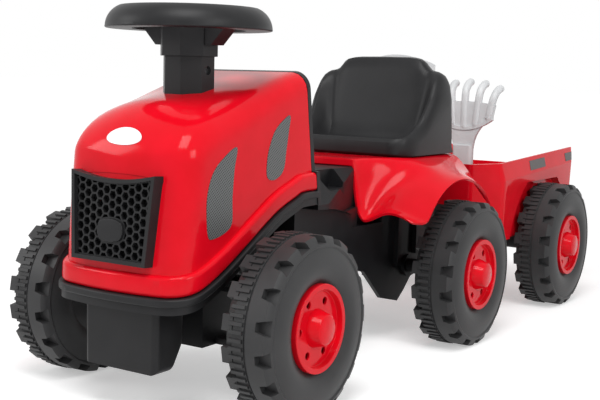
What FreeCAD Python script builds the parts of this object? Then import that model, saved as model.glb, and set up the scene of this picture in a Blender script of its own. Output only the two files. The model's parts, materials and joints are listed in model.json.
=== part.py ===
import FreeCAD, Part
import math
import os
import Sketcher
from FreeCAD import Placement, Rotation, Vector

# Driving sizes in millimetres, degrees and counts. Lengths along the tractor are measured from the
# front axle towards the rear, heights from the floor, widths from the middle plane.
SIZES = {
    # Overall layout
    "front_overhang": 118.0,
    "wheelbase": 367.0,
    "trailer_base": 312.0,
    "tail_overhang": 144.0,
    "track_half": 138.5,
    "wall": 3.0,
    "fit_gap": 0.3,
    "run_gap": 0.05,
    # Wheels
    "tyre_radius": 88.0,
    "tyre_width": 55.0,
    "tyre_wall": 3.0,
    "tread_depth": 8.0,
    "lug_count": 18.0,
    "lug_length": 15.0,
    "notch_width": 17.0,
    "notch_depth": 7.0,
    "seam_width": 3.0,
    "rib_band": 12.0,
    "bead_inset": 7.0,
    "hub_radius": 43.0,
    "hub_tube_wall": 5.0,
    "hub_rim": 5.5,
    "hub_recess": 6.0,
    "hub_hole_ring": 28.0,
    "hub_hole_radius": 3.5,
    "hub_hole_count": 6.0,
    "cap_base_radius": 19.0,
    "cap_radius": 14.5,
    "cap_height": 13.0,
    "axle_radius": 5.0,
    "axle_end": 28.0,
    "spacer_radius": 9.0,
    "retainer_radius": 9.0,
    "retainer_thickness": 1.5,
    # Front axle and steering
    "kingpin_x": 86.0,
    "kingpin_radius": 4.0,
    "kingpin_head": 3.0,
    "barrel_radius": 11.0,
    "yoke_radius": 13.0,
    "yoke_low_z": 58.0,
    "yoke_plate": 6.0,
    "yoke_top_z": 117.0,
    "yoke_top_plate": 5.0,
    "arm_length": 40.0,
    "arm_width": 14.0,
    "arm_thickness": 7.5,
    "link_pin_radius": 4.0,
    "open_pivot_gap": 0.4,
    "tie_rod_thickness": 5.0,
    "crank_thickness": 8.0,
    "crank_hub_radius": 13.0,
    "shaft_radius": 6.0,
    "shaft_low_z": 105.0,
    "column_across": 49.0,
    "column_low_z": 292.0,
    "column_hole_z": 327.0,
    "column_hole_radius": 4.4,
    "collar_across": 55.0,
    "collar_length": 26.0,
    "rim_low_z": 367.0,
    "rim_radius": 83.0,
    "rim_width": 27.0,
    "rim_height": 22.0,
    "spoke_width": 20.0,
    "spoke_drop": 15.0,
    "horn_radius": 19.0,
    "horn_travel": 3.0,
    # Hood, grille and bumper
    "hood_half_width": 78.0,
    "hood_front": 107.0,
    "hood_front_half": 57.0,
    "hood_front_sag": 5.2,
    "hood_sill_z": 150.0,
    "hood_lean": 4.1,
    "nose_radius": 72.0,
    "hood_top_z": 308.0,
    "hood_slope": 11.5,
    "hood_shoulder": 18.0,
    "hood_rear": 113.0,
    "hood_rear_z": 204.0,
    "hood_rear_lean": 8.0,
    "belt_outset": 6.0,
    "belt_height": 20.0,
    "belt_front_z": 119.7,
    "belt_rear_z": 204.0,
    "belt_rise_start": -112.0,
    "belt_rise_end": 105.0,
    "belt_round": 4.5,
    "bumper_outset": 9.0,
    "bumper_step": 3.5,
    "bumper_height": 15.0,
    "bumper_wall": 5.0,
    "bumper_round": 2.0,
    "dash_thickness": 6.0,
    "dash_outset": 0.5,
    "grille_low_z": 147.5,
    "grille_height": 84.0,
    "grille_low_half": 46.0,
    "grille_top_half": 52.0,
    "grille_sag": 6.0,
    "grille_proud": 8.5,
    "grille_depth": 15.0,
    "grille_frame": 4.0,
    "cell_pitch": 9.0,
    "cell_wall": 1.8,
    "cell_depth": 6.0,
    "badge_half_width": 16.0,
    "badge_half_height": 11.0,
    "badge_height": 30.0,
    "badge_bow": 3.0,
    "badge_thickness": 2.5,
    "weight_top_half": 47.0,
    "weight_low_half": 46.0,
    "weight_low_z": 42.5,
    "weight_front": 98.5,
    "weight_length": 42.0,
    "weight_post_radius": 8.0,
    # Chassis
    "chassis_half_width": 60.0,
    "chassis_front": 90.0,
    "deck_low_z": 128.0,
    "deck_top_z": 150.0,
    "body_top_z": 219.0,
    "chassis_tail": 76.0,
    "keel_low_z": 45.0,
    "chassis_wall": 5.0,
    "arch_half_width": 80.0,
    "arch_length": 128.4,
    "arch_low_z": 180.0,
    "flare_half": 44.0,
    "flare_low_z": 187.0,
    "flare_length": 176.0,
    "recess_low_z": 150.0,
    "cheek_lead": 40.0,
    "arch_end_half": 53.0,
    "ledge_z": 172.0,
    "ledge_end_half": 46.5,
    "grip_lead": 43.0,
    "grip_length": 45.0,
    "grip_low_z": 197.0,
    "rib_width": 8.0,
    "rib_outset": 6.0,
    "axle_boss_radius": 14.0,
    "tongue_half_width": 20.0,
    "tongue_low_z": 82.0,
    "tongue_thickness": 8.0,
    "hitch_reach": 95.0,
    "hitch_pin_radius": 6.0,
    "hitch_head_radius": 11.0,
    "hitch_tail": 14.0,
    "hitch_tail_radius": 5.0,
    # Rear body and seat
    "plate_z": 229.0,
    "plate_thickness": 10.0,
    "saddle_front_half": 44.0,
    "saddle_rear_half": 82.0,
    "body_lead": 116.0,
    "body_tail": 80.0,
    "fender_half_width": 140.0,
    "fender_radius": 121.0,
    "fender_centre_lead": 12.0,
    "fender_centre_z": 85.0,
    "fender_lip_z": 165.0,
    "seat_lead": 61.0,
    "seat_tail": 78.0,
    "seat_half_width": 94.0,
    "seat_low_half": 84.0,
    "seat_side": 15.0,
    "seat_lip_z": 252.0,
    "seat_pan_z": 244.0,
    "seat_shoulder_z": 334.0,
    "seat_top_z": 352.0,
    "seat_top_half": 57.0,
    "seat_back_lead": 24.0,
    # Trailer
    "tub_low_z": 104.0,
    "tub_crease_z": 188.0,
    "tub_crease_rise": 14.0,
    "tub_rim_z": 212.0,
    "tub_rim_rise": 12.5,
    "tub_low_half": 115.0,
    "tub_crease_half": 119.0,
    "tub_rim_half": 114.0,
    "tub_front_half": 86.0,
    "tub_front_lead": 182.0,
    "tub_knee_lead": 149.0,
    "tub_low_lead": 170.0,
    "tub_low_tail": 134.5,
    "tub_tail_drop": 32.0,
    "tub_tail_half": 96.0,
    "arch_radius": 110.0,
    "arch_inner_half": 107.0,
    "arch_top_z": 181.0,
    "tail_panel_z": 162.0,
    "tail_high_round": 24.0,
    "tail_low_round": 7.0,
    "frame_half_width": 15.0,
    "frame_tail": 70.0,
    "axle_beam_half": 100.0,
    "axle_beam_radius": 13.0,
    "eye_radius": 15.0,
    # Tools in the tub
    "rake_x": 38.0,
    "rake_lead": 108.0,
    "rake_height": 220.0,
    "tine_pitch": 17.0,
    "tine_radius": 5.5,
    "tine_fan": 6.0,
    "tine_reach": 20.0,
    "handle_width": 30.0,
    "handle_depth": 13.0,
    "shovel_x": -55.0,
    "shovel_lead": 141.0,
    "shovel_height": 251.0,
    "shovel_half_width": 56.0,
    "shovel_blade": 118.0,
    "shovel_bow": 14.0,
    "socket_wall": 3.0,
    "socket_depth": 14.0,
    # Screws
    "screw_radius": 2.5,
    "screw_head_radius": 5.0,
    "screw_head": 3.0,
    "screw_length": 20.0,
    "screw_spread": 28.0,
}

doc = FreeCAD.newDocument("ride_on_tractor")
sheet = doc.addObject("Spreadsheet::Sheet", "Sizes")
for row, (alias, amount) in enumerate(SIZES.items(), start=1):
    sheet.set(f"A{row}", alias)
    sheet.set(f"B{row}", str(amount))
    sheet.setAlias(f"B{row}", alias)
doc.recompute()


class Size:
    """A number together with the sheet expression that gives it."""

    def __init__(self, number, text):
        self.number = float(number)
        self.text = text

    def __float__(self):
        return self.number

    def __add__(self, other):
        other = as_size(other)
        return Size(self.number + other.number, f"({self.text} + {other.text})")

    def __radd__(self, other):
        return as_size(other) + self

    def __sub__(self, other):
        other = as_size(other)
        return Size(self.number - other.number, f"({self.text} - {other.text})")

    def __rsub__(self, other):
        return as_size(other) - self

    def __mul__(self, other):
        other = as_size(other)
        return Size(self.number * other.number, f"({self.text} * {other.text})")

    def __rmul__(self, other):
        return as_size(other) * self

    def __truediv__(self, other):
        other = as_size(other)
        return Size(self.number / other.number, f"({self.text} / {other.text})")

    def __neg__(self):
        return as_size(-1) * self


def as_size(amount):
    if isinstance(amount, Size):
        return amount
    return Size(amount, f"({float(amount)!r})")


def slope_of(angle):
    """Rise per run of an angle in degrees."""
    return Size(math.tan(math.radians(angle.number)), f"tan({angle.text} * 1 deg)")


class Dimensions:
    """The sheet's cells as Size objects, by alias."""

    def __getattr__(self, alias):
        return Size(sheet.get(alias), f"Sizes.{alias}")


class Numbers:
    """The sheet's cells as plain numbers, by alias, for shapes that are set in code."""

    def __getattr__(self, alias):
        return float(sheet.get(alias))


d = Dimensions()
v = Numbers()
parts = []

# Places along the tractor, from the front axle, and the shift that centres the whole length.
front_axle_y = (d.front_overhang - d.wheelbase - d.trailer_base - d.tail_overhang) / 2
trailer_axle = d.wheelbase + d.trailer_base
hitch_y = d.wheelbase + d.hitch_reach
axle_z = d.tyre_radius
wheel_inner_x = d.track_half - d.tyre_width / 2


def bind(thing, prop, amount):
    amount = as_size(amount)
    if "." not in prop and "[" not in prop:
        setattr(thing, prop, amount.number)
    thing.setExpression(prop, amount.text)


def place(thing, x=0, y=0, z=0, turn=None):
    """Put a sub-part at a point of the tractor's frame, shifted to the centred frame."""
    thing.Placement = Placement(Vector(), turn or Rotation())
    for axis, amount in zip("xyz", (x, front_axle_y + y, z)):
        bind(thing, f"Placement.Base.{axis}", amount)
    parts.append(thing)
    return thing


def new_body(label):
    body = doc.addObject("PartDesign::Body", label)
    body.Label = label
    return body


def origin_item(body, role):
    return next(item for item in body.Origin.OriginFeatures if item.Role == role)


def new_sketch(body, plane, offset):
    sketch = body.newObject("Sketcher::SketchObject", "profile")
    sketch.AttachmentSupport = [(origin_item(body, plane), "")]
    sketch.MapMode = "FlatFace"
    bind(sketch, "AttachmentOffset.Base.z", offset)
    return sketch


def outline(body, plane, corners, offset=0):
    """A closed sketch whose corners are bound to the sheet. A corner with four entries starts an
    arc through the point that its last two entries give."""
    sketch = new_sketch(body, plane, offset)
    count = len(corners)
    points = [Vector(float(c[0]), float(c[1]), 0) for c in corners]
    ends = []
    for i, corner in enumerate(corners):
        start, stop = points[i], points[(i + 1) % count]
        if len(corner) == 4:
            curve = Part.Arc(start, Vector(float(corner[2]), float(corner[3]), 0), stop)
        else:
            curve = Part.LineSegment(start, stop)
        index = sketch.addGeometry(curve)
        forward = sketch.getPoint(index, 1).distanceToPoint(start) < 1e-6
        ends.append((1, 2) if forward else (2, 1))
    for i in range(count):
        following = (i + 1) % count
        sketch.addConstraint(Sketcher.Constraint("Coincident", i, ends[i][1], following, ends[following][0]))
    for i, corner in enumerate(corners):
        for kind, amount in (("DistanceX", as_size(corner[0])), ("DistanceY", as_size(corner[1]))):
            rule = Sketcher.Constraint(kind, -1, 1, i, ends[i][0], amount.number)
            bind(sketch, f"Constraints[{sketch.addConstraint(rule)}]", amount)
    return sketch


def disc(body, plane, centre, radius, offset=0):
    """A sketch of one circle."""
    sketch = new_sketch(body, plane, offset)
    middle = [as_size(c) for c in centre]
    radius = as_size(radius)
    sketch.addGeometry(Part.Circle(Vector(middle[0].number, middle[1].number, 0), Vector(0, 0, 1), radius.number))
    for kind, amount in (("DistanceX", middle[0]), ("DistanceY", middle[1])):
        rule = Sketcher.Constraint(kind, -1, 1, 0, 3, amount.number)
        bind(sketch, f"Constraints[{sketch.addConstraint(rule)}]", amount)
    rule = Sketcher.Constraint("Radius", 0, radius.number)
    bind(sketch, f"Constraints[{sketch.addConstraint(rule)}]", radius)
    return sketch


def pad(body, sketch, length):
    feature = body.newObject("PartDesign::Pad", "pad")
    feature.Profile = sketch
    bind(feature, "Length", length)
    return feature


def pocket(body, sketch, length):
    """Cut along the sketch's normal, and make sure that the cut takes something away."""
    doc.recompute()
    before = body.Tip.Shape.Volume
    feature = body.newObject("PartDesign::Pocket", "pocket")
    feature.Profile = sketch
    feature.Reversed = True
    bind(feature, "Length", length)
    doc.recompute()
    if feature.Shape.Volume >= before - 1e-6:
        raise ValueError(f"{body.Label}: a pocket cuts nothing")
    return feature


def revolve(body, sketch, role):
    feature = body.newObject("PartDesign::Revolution", "revolution")
    feature.Profile = sketch
    feature.ReferenceAxis = (origin_item(body, role), [""])
    feature.Angle = 360
    return feature


def polar(body, feature, role, count):
    pattern = body.newObject("PartDesign::PolarPattern", "ring")
    pattern.Originals = [feature]
    pattern.Axis = (origin_item(body, role), [""])
    pattern.Angle = 360
    pattern.Occurrences = int(float(count))
    pattern.setExpression("Occurrences", count.text)
    body.Tip = pattern
    return pattern


def round_edges(body, radius, wanted):
    """Round those edges of the body's last feature that the test picks."""
    doc.recompute()
    base = body.Tip
    names = [f"Edge{i}" for i, edge in enumerate(base.Shape.Edges, start=1) if wanted(edge)]
    feature = body.newObject("PartDesign::Fillet", "rounding")
    feature.Base = (base, names)
    bind(feature, "Radius", radius)
    doc.recompute()
    if not feature.Shape.isValid():
        raise ValueError(f"{body.Label}: a rounding failed")
    return feature


def add_shape(label, shape, *spot):
    """A sub-part whose shape is set in code, in the tractor's frame or at a spot of its own."""
    feature = doc.addObject("Part::Feature", label)
    feature.Label = label
    feature.Shape = shape
    return place(feature, *spot)


def cylinder(label, radius, height, x, y, z, along_x=False):
    rod = doc.addObject("Part::Cylinder", label)
    rod.Label = label
    bind(rod, "Radius", radius)
    bind(rod, "Height", height)
    turn = Rotation(Vector(0, 1, 0), 90) if along_x else None
    return place(rod, x, y, z, turn)


def copy_of(master, label, x, y, z, turn=None):
    """Another piece from the same mould, at its own place."""
    shape = master.Shape.copy()
    shape.Placement = Placement()
    feature = doc.addObject("Part::Feature", label)
    feature.Label = label
    feature.Shape = shape
    return place(feature, x, y, z, turn)


def parallel(edge, axis):
    """True for a straight edge along the axis."""
    if edge.Curve.TypeId != "Part::GeomLine":
        return False
    return abs(abs(edge.tangentAt(edge.FirstParameter).dot(axis)) - 1) < 1e-6


AXIS_X, AXIS_Y, AXIS_Z = Vector(1, 0, 0), Vector(0, 1, 0), Vector(0, 0, 1)
STATIONS = {
    "front_left": (1, 0),
    "front_right": (-1, 0),
    "rear_left": (1, d.wheelbase),
    "rear_right": (-1, d.wheelbase),
    "trailer_left": (1, trailer_axle),
    "trailer_right": (-1, trailer_axle),
}
# Places of the screws from above, by the piece that they hold.
SCREWS = {
    "seat": [(d.screw_spread, d.wheelbase - 10), (-d.screw_spread, d.wheelbase - 10)],
    "weight": [(d.screw_spread, -d.weight_front + 26), (-d.screw_spread, -d.weight_front + 26)],
    "tub": [(0, trailer_axle - 45), (0, trailer_axle + 45)],
}


def make_tyre(label, side):
    """Hollow moulded tyre with notched blocks and lugs, closed behind the hub on the tractor's side."""
    body = new_body(label)
    half = d.tyre_width / 2
    top = d.tyre_radius
    base = top - d.tread_depth
    bore = d.hub_radius
    bead = half - d.bead_inset
    seam = d.seam_width / 2
    inner = half - d.tyre_wall
    ribs = seam + d.rib_band
    hole = hub_tube_radius() + d.fit_gap
    disc_edge = [(bead - d.tyre_wall, hole), (bead, hole)]
    section = [
        *(disc_edge if side < 0 else [(bead, bore)]),
        (half - 5.5, bore + 2, half - 1.2, bore + 10),
        (half, bore + 18, half - 0.9, bore + 27),
        (half - 3, base - 3),
        (half - 2, base - 1),
        (half - 5, top - 2),
        (half - 7, top),
        (seam, top),
        (seam - 0.5, top - 2),
        (0.5 - seam, top - 2),
        (-seam, top - 1),
        (-ribs, top - 1),
        (-ribs - 1, base + 2.5),
        (3 - half, base + 0.5, 0.7 - half, bore + 27),
        (-half, bore + 17, 0.2 - half, bore + 12),
        (2 - half, bore + 4),
        *([(-x, r) for x, r in reversed(disc_edge)] if side > 0 else [(-bead, bore)]),
        (d.tyre_wall - bead, bore),
        (-inner, bore + 15),
        (-inner + 2, base - d.tyre_wall),
        (inner - 2, base - d.tyre_wall),
        (inner, bore + 15),
        (bead - d.tyre_wall, bore),
    ]
    revolve(body, outline(body, "XZ_Plane", section), "X_Axis")
    notch = [
        (seam + 10, d.notch_width / 4),
        (half + 2, d.notch_width / 2),
        (half + 2, -d.notch_width / 2),
        (seam + 10, -d.notch_width / 4),
    ]
    notch_floor = top - d.notch_depth
    polar(body, pocket(body, outline(body, "XY_Plane", notch, notch_floor), 2 * d.tread_depth), "X_Axis", d.lug_count)
    lug = [
        (2 - half, -d.lug_length / 2),
        (-ribs - 0.5, -d.lug_length / 2),
        (-ribs - 0.5, d.lug_length / 2),
        (2 - half, d.lug_length / 2),
    ]
    polar(body, pad(body, outline(body, "XY_Plane", lug, base - 2), d.tread_depth + 1.5), "X_Axis", d.lug_count)
    return body


def hub_tube_radius():
    return d.axle_radius + d.run_gap + d.hub_tube_wall


def make_hub(label):
    """Cup shaped hub: drum, recessed web with holes and the bearing tube."""
    body = new_body(label)
    face = d.tyre_width / 2 - 1
    web = face - d.hub_recess
    bore = d.axle_radius + d.run_gap
    tube = hub_tube_radius()
    drum_end = d.tyre_wall + d.fit_gap + d.bead_inset - d.tyre_width / 2
    section = [
        (-face, bore),
        (-face, tube),
        (web - d.wall, tube),
        (web - d.wall, d.hub_radius - d.wall),
        (drum_end, d.hub_radius - d.wall),
        (drum_end, d.hub_radius),
        (face, d.hub_radius),
        (face, d.hub_radius - d.hub_rim),
        (web, d.hub_radius - d.hub_rim - 0.6),
        (web, tube + 2),
        (web + d.wall, tube + 2),
        (web + d.wall, bore),
    ]
    revolve(body, outline(body, "XZ_Plane", section), "X_Axis")
    offset = math.pi / 6
    spot = (d.hub_hole_ring * math.sin(offset), d.hub_hole_ring * math.cos(offset))
    hole = disc(body, "YZ_Plane", spot, d.hub_hole_radius, web - 2 * d.wall)
    polar(body, pocket(body, hole, 4 * d.wall), "X_Axis", d.hub_hole_count)
    return body


def make_hub_cap(label):
    """Hollow conical cap that covers the end of the axle."""
    body = new_body(label)
    seat = d.tyre_width / 2 - 1 - d.hub_recess
    top = seat + d.cap_height
    section = [
        (top, 0),
        (top, d.cap_radius - 2),
        (top - 1, d.cap_radius),
        (seat, d.cap_base_radius),
        (seat, d.cap_base_radius - d.wall),
        (top - d.wall, d.cap_radius - d.wall),
        (top - d.wall, 0),
    ]
    revolve(body, outline(body, "XZ_Plane", section), "X_Axis")
    return body


def make_retainer(label):
    """Push-on washer at the end of an axle."""
    body = new_body(label)
    start = d.tyre_width / 2 - 1 - d.hub_recess + d.wall + d.fit_gap
    section = [
        (start, d.axle_radius),
        (start, d.retainer_radius),
        (start + d.retainer_thickness, d.retainer_radius),
        (start + d.retainer_thickness, d.axle_radius),
    ]
    revolve(body, outline(body, "XZ_Plane", section), "X_Axis")
    return body


def make_wheels():
    """Six wheels: the treads run the same way on both sides, the other pieces are turned about."""
    makers = {"hub": make_hub, "hub_cap": make_hub_cap, "axle_retainer": make_retainer}
    tyres = {}
    masters = {}
    for station, (side, y) in STATIONS.items():
        spot = (side * d.track_half, y, axle_z)
        if side in tyres:
            copy_of(tyres[side], f"{station}_tyre", *spot)
        else:
            tyres[side] = place(make_tyre(f"{station}_tyre", side), *spot)
        turn = Rotation(AXIS_Z, 180) if side < 0 else None
        for piece, maker in makers.items():
            if piece in masters:
                copy_of(masters[piece], f"{station}_{piece}", *spot, turn)
            else:
                masters[piece] = place(maker(f"{station}_{piece}"), *spot, turn)
        doc.recompute()


def make_axles():
    """Steel rods of the rear and the trailer wheels, the front stubs and the rear spacers."""
    reach = d.track_half + d.axle_end
    for label, y in (("rear_axle", d.wheelbase), ("trailer_axle", trailer_axle)):
        cylinder(label, d.axle_radius, 2 * reach, -reach, y, axle_z, along_x=True)
    stub_start = d.kingpin_x + d.kingpin_radius + 2
    cylinder("front_left_stub_axle", d.axle_radius, reach - stub_start, stub_start, 0, axle_z, along_x=True)
    cylinder("front_right_stub_axle", d.axle_radius, reach - stub_start, -reach, 0, axle_z, along_x=True)
    inner = d.chassis_half_width + 4
    outer = wheel_inner_x + 1 - d.fit_gap
    body = new_body("rear_axle_spacer_left")
    section = [
        (inner, d.axle_radius),
        (inner, d.spacer_radius),
        (outer, d.spacer_radius),
        (outer, d.axle_radius),
    ]
    revolve(body, outline(body, "XZ_Plane", section), "X_Axis")
    place(body, 0, d.wheelbase, axle_z)
    doc.recompute()
    copy_of(body, "rear_axle_spacer_right", 0, d.wheelbase, axle_z, Rotation(AXIS_Z, 180))


def make_knuckle(label, side):
    """Kingpin barrel with the stub's boss and the steering arm with its pin."""
    body = new_body(label)
    low = d.yoke_low_z + d.yoke_plate + d.fit_gap
    high = d.yoke_top_z - d.yoke_top_plate - d.fit_gap
    arm_low = high - d.arm_thickness
    pad(body, disc(body, "XY_Plane", (0, 0), d.barrel_radius, low), high - low)
    boss_end = wheel_inner_x + 1 - d.fit_gap - d.kingpin_x
    boss = disc(body, "YZ_Plane", (0, axle_z), d.barrel_radius, 0 if side > 0 else -boss_end)
    pad(body, boss, boss_end)
    arm_half = d.arm_width / 2
    arm = [
        (-arm_half, 0),
        (arm_half, 0),
        (arm_half, d.arm_length, 0, d.arm_length + arm_half),
        (-arm_half, d.arm_length),
    ]
    pad(body, outline(body, "XY_Plane", arm, arm_low), d.arm_thickness)
    pin = disc(body, "XY_Plane", (0, d.arm_length), d.link_pin_radius, arm_low)
    pad(body, pin, d.arm_thickness + d.fit_gap + d.tie_rod_thickness)
    pocket(body, disc(body, "XY_Plane", (0, 0), d.kingpin_radius + d.run_gap, low - 1), high - low + 2)
    stub_start = d.kingpin_radius + 2
    hole_length = boss_end - stub_start
    hole = disc(body, "YZ_Plane", (0, axle_z), d.axle_radius, stub_start if side > 0 else -boss_end)
    pocket(body, hole, hole_length)
    return place(body, side * d.kingpin_x)


def make_kingpins():
    """Two headed steel pins, one group."""
    pins = []
    for side in (1, -1):
        foot = Vector(side * v.kingpin_x, 0, v.yoke_low_z)
        shank = Part.makeCylinder(v.kingpin_radius, v.yoke_top_z - v.yoke_low_z, foot)
        head_foot = Vector(side * v.kingpin_x, 0, v.yoke_top_z)
        head = Part.makeCylinder(1.7 * v.kingpin_radius, v.kingpin_head, head_foot)
        pins.append(shank.fuse(head).removeSplitter())
    add_shape("kingpins", Part.makeCompound(pins))


def make_steering_links():
    """Tie rod and the crank that drives it."""
    rod_low = d.yoke_top_z - d.yoke_top_plate
    body = new_body("tie_rod")
    half = d.arm_width / 2
    flat = [
        (-d.kingpin_x, -half),
        (d.kingpin_x, -half, d.kingpin_x + half, 0),
        (d.kingpin_x, half),
        (-d.kingpin_x, half, -d.kingpin_x - half, 0),
    ]
    pad(body, outline(body, "XY_Plane", flat), d.tie_rod_thickness)
    for x, gap in ((-d.kingpin_x, d.open_pivot_gap), (0, d.run_gap), (d.kingpin_x, d.open_pivot_gap)):
        hole = disc(body, "XY_Plane", (x, 0), d.link_pin_radius + gap, -1)
        pocket(body, hole, d.tie_rod_thickness + 2)
    place(body, 0, d.arm_length, rod_low)

    crank_low = d.yoke_top_z + d.fit_gap
    body = new_body("steering_crank")
    pad(body, disc(body, "XY_Plane", (0, 0), d.crank_hub_radius), d.crank_thickness)
    arm = [
        (-half, 0),
        (half, 0),
        (half, d.arm_length, 0, d.arm_length + half),
        (-half, d.arm_length),
    ]
    pad(body, outline(body, "XY_Plane", arm), d.crank_thickness)
    drop = crank_low - rod_low - d.fit_gap
    pad(body, disc(body, "XY_Plane", (0, d.arm_length), d.link_pin_radius, -drop), drop)
    pocket(body, disc(body, "XY_Plane", (0, 0), d.shaft_radius, -1), d.crank_thickness + 2)
    place(body, 0, 0, crank_low)


def octagon(across):
    """Corners of an upright eight sided bar with flat faces to the front and the sides."""
    flat = across / 2
    cut = flat * math.tan(math.pi / 8)
    return [
        (cut, -flat),
        (flat, -cut),
        (flat, cut),
        (cut, flat),
        (-cut, flat),
        (-flat, cut),
        (-flat, -cut),
        (-cut, -flat),
    ]


def make_column():
    """Eight sided column on the shaft, with the hole of its cross screw."""
    top = d.rim_low_z - 4
    body = new_body("steering_column")
    pad(body, outline(body, "XY_Plane", octagon(d.column_across), d.column_low_z), top - d.column_low_z)
    pocket(body, disc(body, "XY_Plane", (0, 0), d.shaft_radius, d.column_low_z - 1), top - d.column_low_z + 2)
    half = d.column_across / 2
    pocket(body, disc(body, "YZ_Plane", (0, d.column_hole_z), d.column_hole_radius, -half - 1), d.column_across + 2)
    round_edges(body, 1.2, lambda edge: parallel(edge, AXIS_Z) and edge.Length > 20)
    place(body)

    shaft_top = d.rim_low_z + 4
    body = new_body("steering_shaft")
    pad(body, disc(body, "XY_Plane", (0, 0), d.shaft_radius, d.shaft_low_z), shaft_top - d.shaft_low_z)
    screw = disc(body, "YZ_Plane", (0, d.column_hole_z), d.screw_radius, -d.shaft_radius - 1)
    pocket(body, screw, 2 * d.shaft_radius + 2)
    place(body)

    body = new_body("column_screw")
    reach = half - 4
    pad(body, disc(body, "YZ_Plane", (0, d.column_hole_z), d.screw_radius, -reach), 2 * reach - d.screw_head)
    head = disc(body, "YZ_Plane", (0, d.column_hole_z), d.column_hole_radius, reach - d.screw_head)
    pad(body, head, d.screw_head)
    place(body)


def make_steering_wheel():
    """Domed rim, hub with the horn's recess, three spokes with gussets and the eight sided collar."""
    body = new_body("steering_wheel")
    outer = d.rim_radius
    inner = outer - d.rim_width
    tall = d.rim_height
    rim = [
        (inner + 1, 0),
        (outer - 1, 0, outer - 0.2, 0.4),
        (outer, 2, outer - 4.5, tall * 0.66),
        (outer - d.rim_width * 0.52, tall, inner + 4, tall * 0.8),
        (inner, tall * 0.3),
    ]
    revolve(body, outline(body, "XZ_Plane", rim), "Z_Axis")
    hub_radius = d.horn_radius + 9
    hub_low = 2
    hub_top = tall * 0.72
    pad(body, disc(body, "XY_Plane", (0, 0), hub_radius, hub_low), hub_top - hub_low)
    half = d.spoke_width / 2
    for angle in (0, 90, 180):
        turn = Rotation(AXIS_Z, angle)
        flat = [(10, -half), (inner + 4, -half), (inner + 4, half), (10, half)]
        spoke = [corner_turned(corner, turn) for corner in flat]
        pad(body, outline(body, "XY_Plane", spoke, hub_low), tall * 0.4)
    gusset = [
        (d.collar_across / 2 - 3, hub_low),
        (inner - 4, hub_low),
        (d.collar_across / 2 + 8, -d.spoke_drop),
        (d.collar_across / 2 - 3, -d.spoke_drop),
    ]
    for sign in (1, -1):
        corners = [(sign * x, z) for x, z in gusset]
        pad(body, outline(body, "XZ_Plane", corners, -half), d.spoke_width)
    collar = outline(body, "XY_Plane", octagon(d.collar_across), -d.collar_length)
    pad(body, collar, d.collar_length + hub_low)
    socket = outline(body, "XY_Plane", octagon(d.column_across), -d.collar_length - 1)
    pocket(body, socket, d.collar_length - 4 + 1)
    pocket(body, disc(body, "XY_Plane", (0, 0), d.shaft_radius, -6), 6 + 4)
    recess_low = hub_top - 8
    pocket(body, disc(body, "XY_Plane", (0, 0), d.horn_radius + d.fit_gap, recess_low), tall)
    place(body, 0, 0, d.rim_low_z)

    body = new_body("horn_button")
    top = hub_top + 2
    section = [
        (0, recess_low + d.horn_travel + d.fit_gap),
        (d.horn_radius, recess_low + d.horn_travel + d.fit_gap),
        (d.horn_radius, top - 2.5, d.horn_radius - 2.5, top - 0.9),
        (d.horn_radius - 7, top),
        (0, top),
    ]
    revolve(body, outline(body, "XZ_Plane", section), "Z_Axis")
    place(body, 0, 0, d.rim_low_z)


def corner_turned(corner, turn):
    """A corner of a flat outline turned by a quarter turn or none."""
    across = turn.multVec(AXIS_X)
    along = turn.multVec(AXIS_Y)
    return (
        corner[0] * round(across.x) + corner[1] * round(along.x),
        corner[0] * round(across.y) + corner[1] * round(along.y),
    )


def plan_wire(z, outset, rear):
    """Hood outline from above at one height: bowed front, round corners, straight sides."""
    half = v.hood_half_width + outset
    lean = math.tan(math.radians(v.hood_lean)) * (z - v.hood_sill_z)
    nose = lean - v.hood_front - outset
    chord = v.hood_front_half
    sag = v.hood_front_sag
    bow = math.atan(2 * sag / chord)
    turn = math.sin(bow)
    radius = (half - chord) / (1 - turn)
    corner_y = nose + sag + radius * math.cos(bow)
    middle = math.radians(45) + bow / 2
    points = [
        Vector(-half, rear, z),
        Vector(-half, corner_y, z),
        Vector(-half + radius * (1 - math.sin(middle)), corner_y - radius * math.cos(middle), z),
        Vector(-chord, nose + sag, z),
        Vector(0, nose, z),
    ]
    mirrored = [Vector(-p.x, p.y, p.z) for p in points]
    edges = [
        Part.LineSegment(points[0], points[1]),
        Part.Arc(points[1], points[2], points[3]),
        Part.Arc(points[3], points[4], mirrored[3]),
        Part.Arc(mirrored[3], mirrored[2], mirrored[1]),
        Part.LineSegment(mirrored[1], mirrored[0]),
        Part.LineSegment(mirrored[0], points[0]),
    ]
    return Part.Wire([edge.toShape() for edge in edges])


def plan_block(outset, rear):
    """The hood's plan as a tall leaning block."""
    low, high = 60.0, v.hood_top_z + 80.0
    return Part.makeLoft([plan_wire(low, outset, rear), plan_wire(high, outset, rear)], True, True)


def belt_line(y):
    """Height of the belt's lower edge: level at the nose, then rising in an even S."""
    share = (y - v.belt_rise_start) / (v.belt_rise_end - v.belt_rise_start)
    share = min(max(share, 0.0), 1.0)
    return v.belt_front_z + (v.belt_rear_z - v.belt_front_z) * share * share * (3 - 2 * share)


def belt_edge(lift):
    """The belt line, lifted, as a chain of edges from ahead of the nose to behind the hood."""
    far = 100.0
    steps = 8
    span = v.belt_rise_end - v.belt_rise_start
    places = [v.belt_rise_start + span * i / steps for i in range(steps + 1)]
    points = [Vector(0, y, belt_line(y) + lift) for y in places]
    curve = Part.BSplineCurve()
    curve.interpolate(Points=points, InitialTangent=AXIS_Y, FinalTangent=AXIS_Y)
    start = Part.LineSegment(points[0] - far * AXIS_Y, points[0])
    stop = Part.LineSegment(points[-1], points[-1] + far * AXIS_Y)
    return [start.toShape(), curve.toShape(), stop.toShape()]


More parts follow.
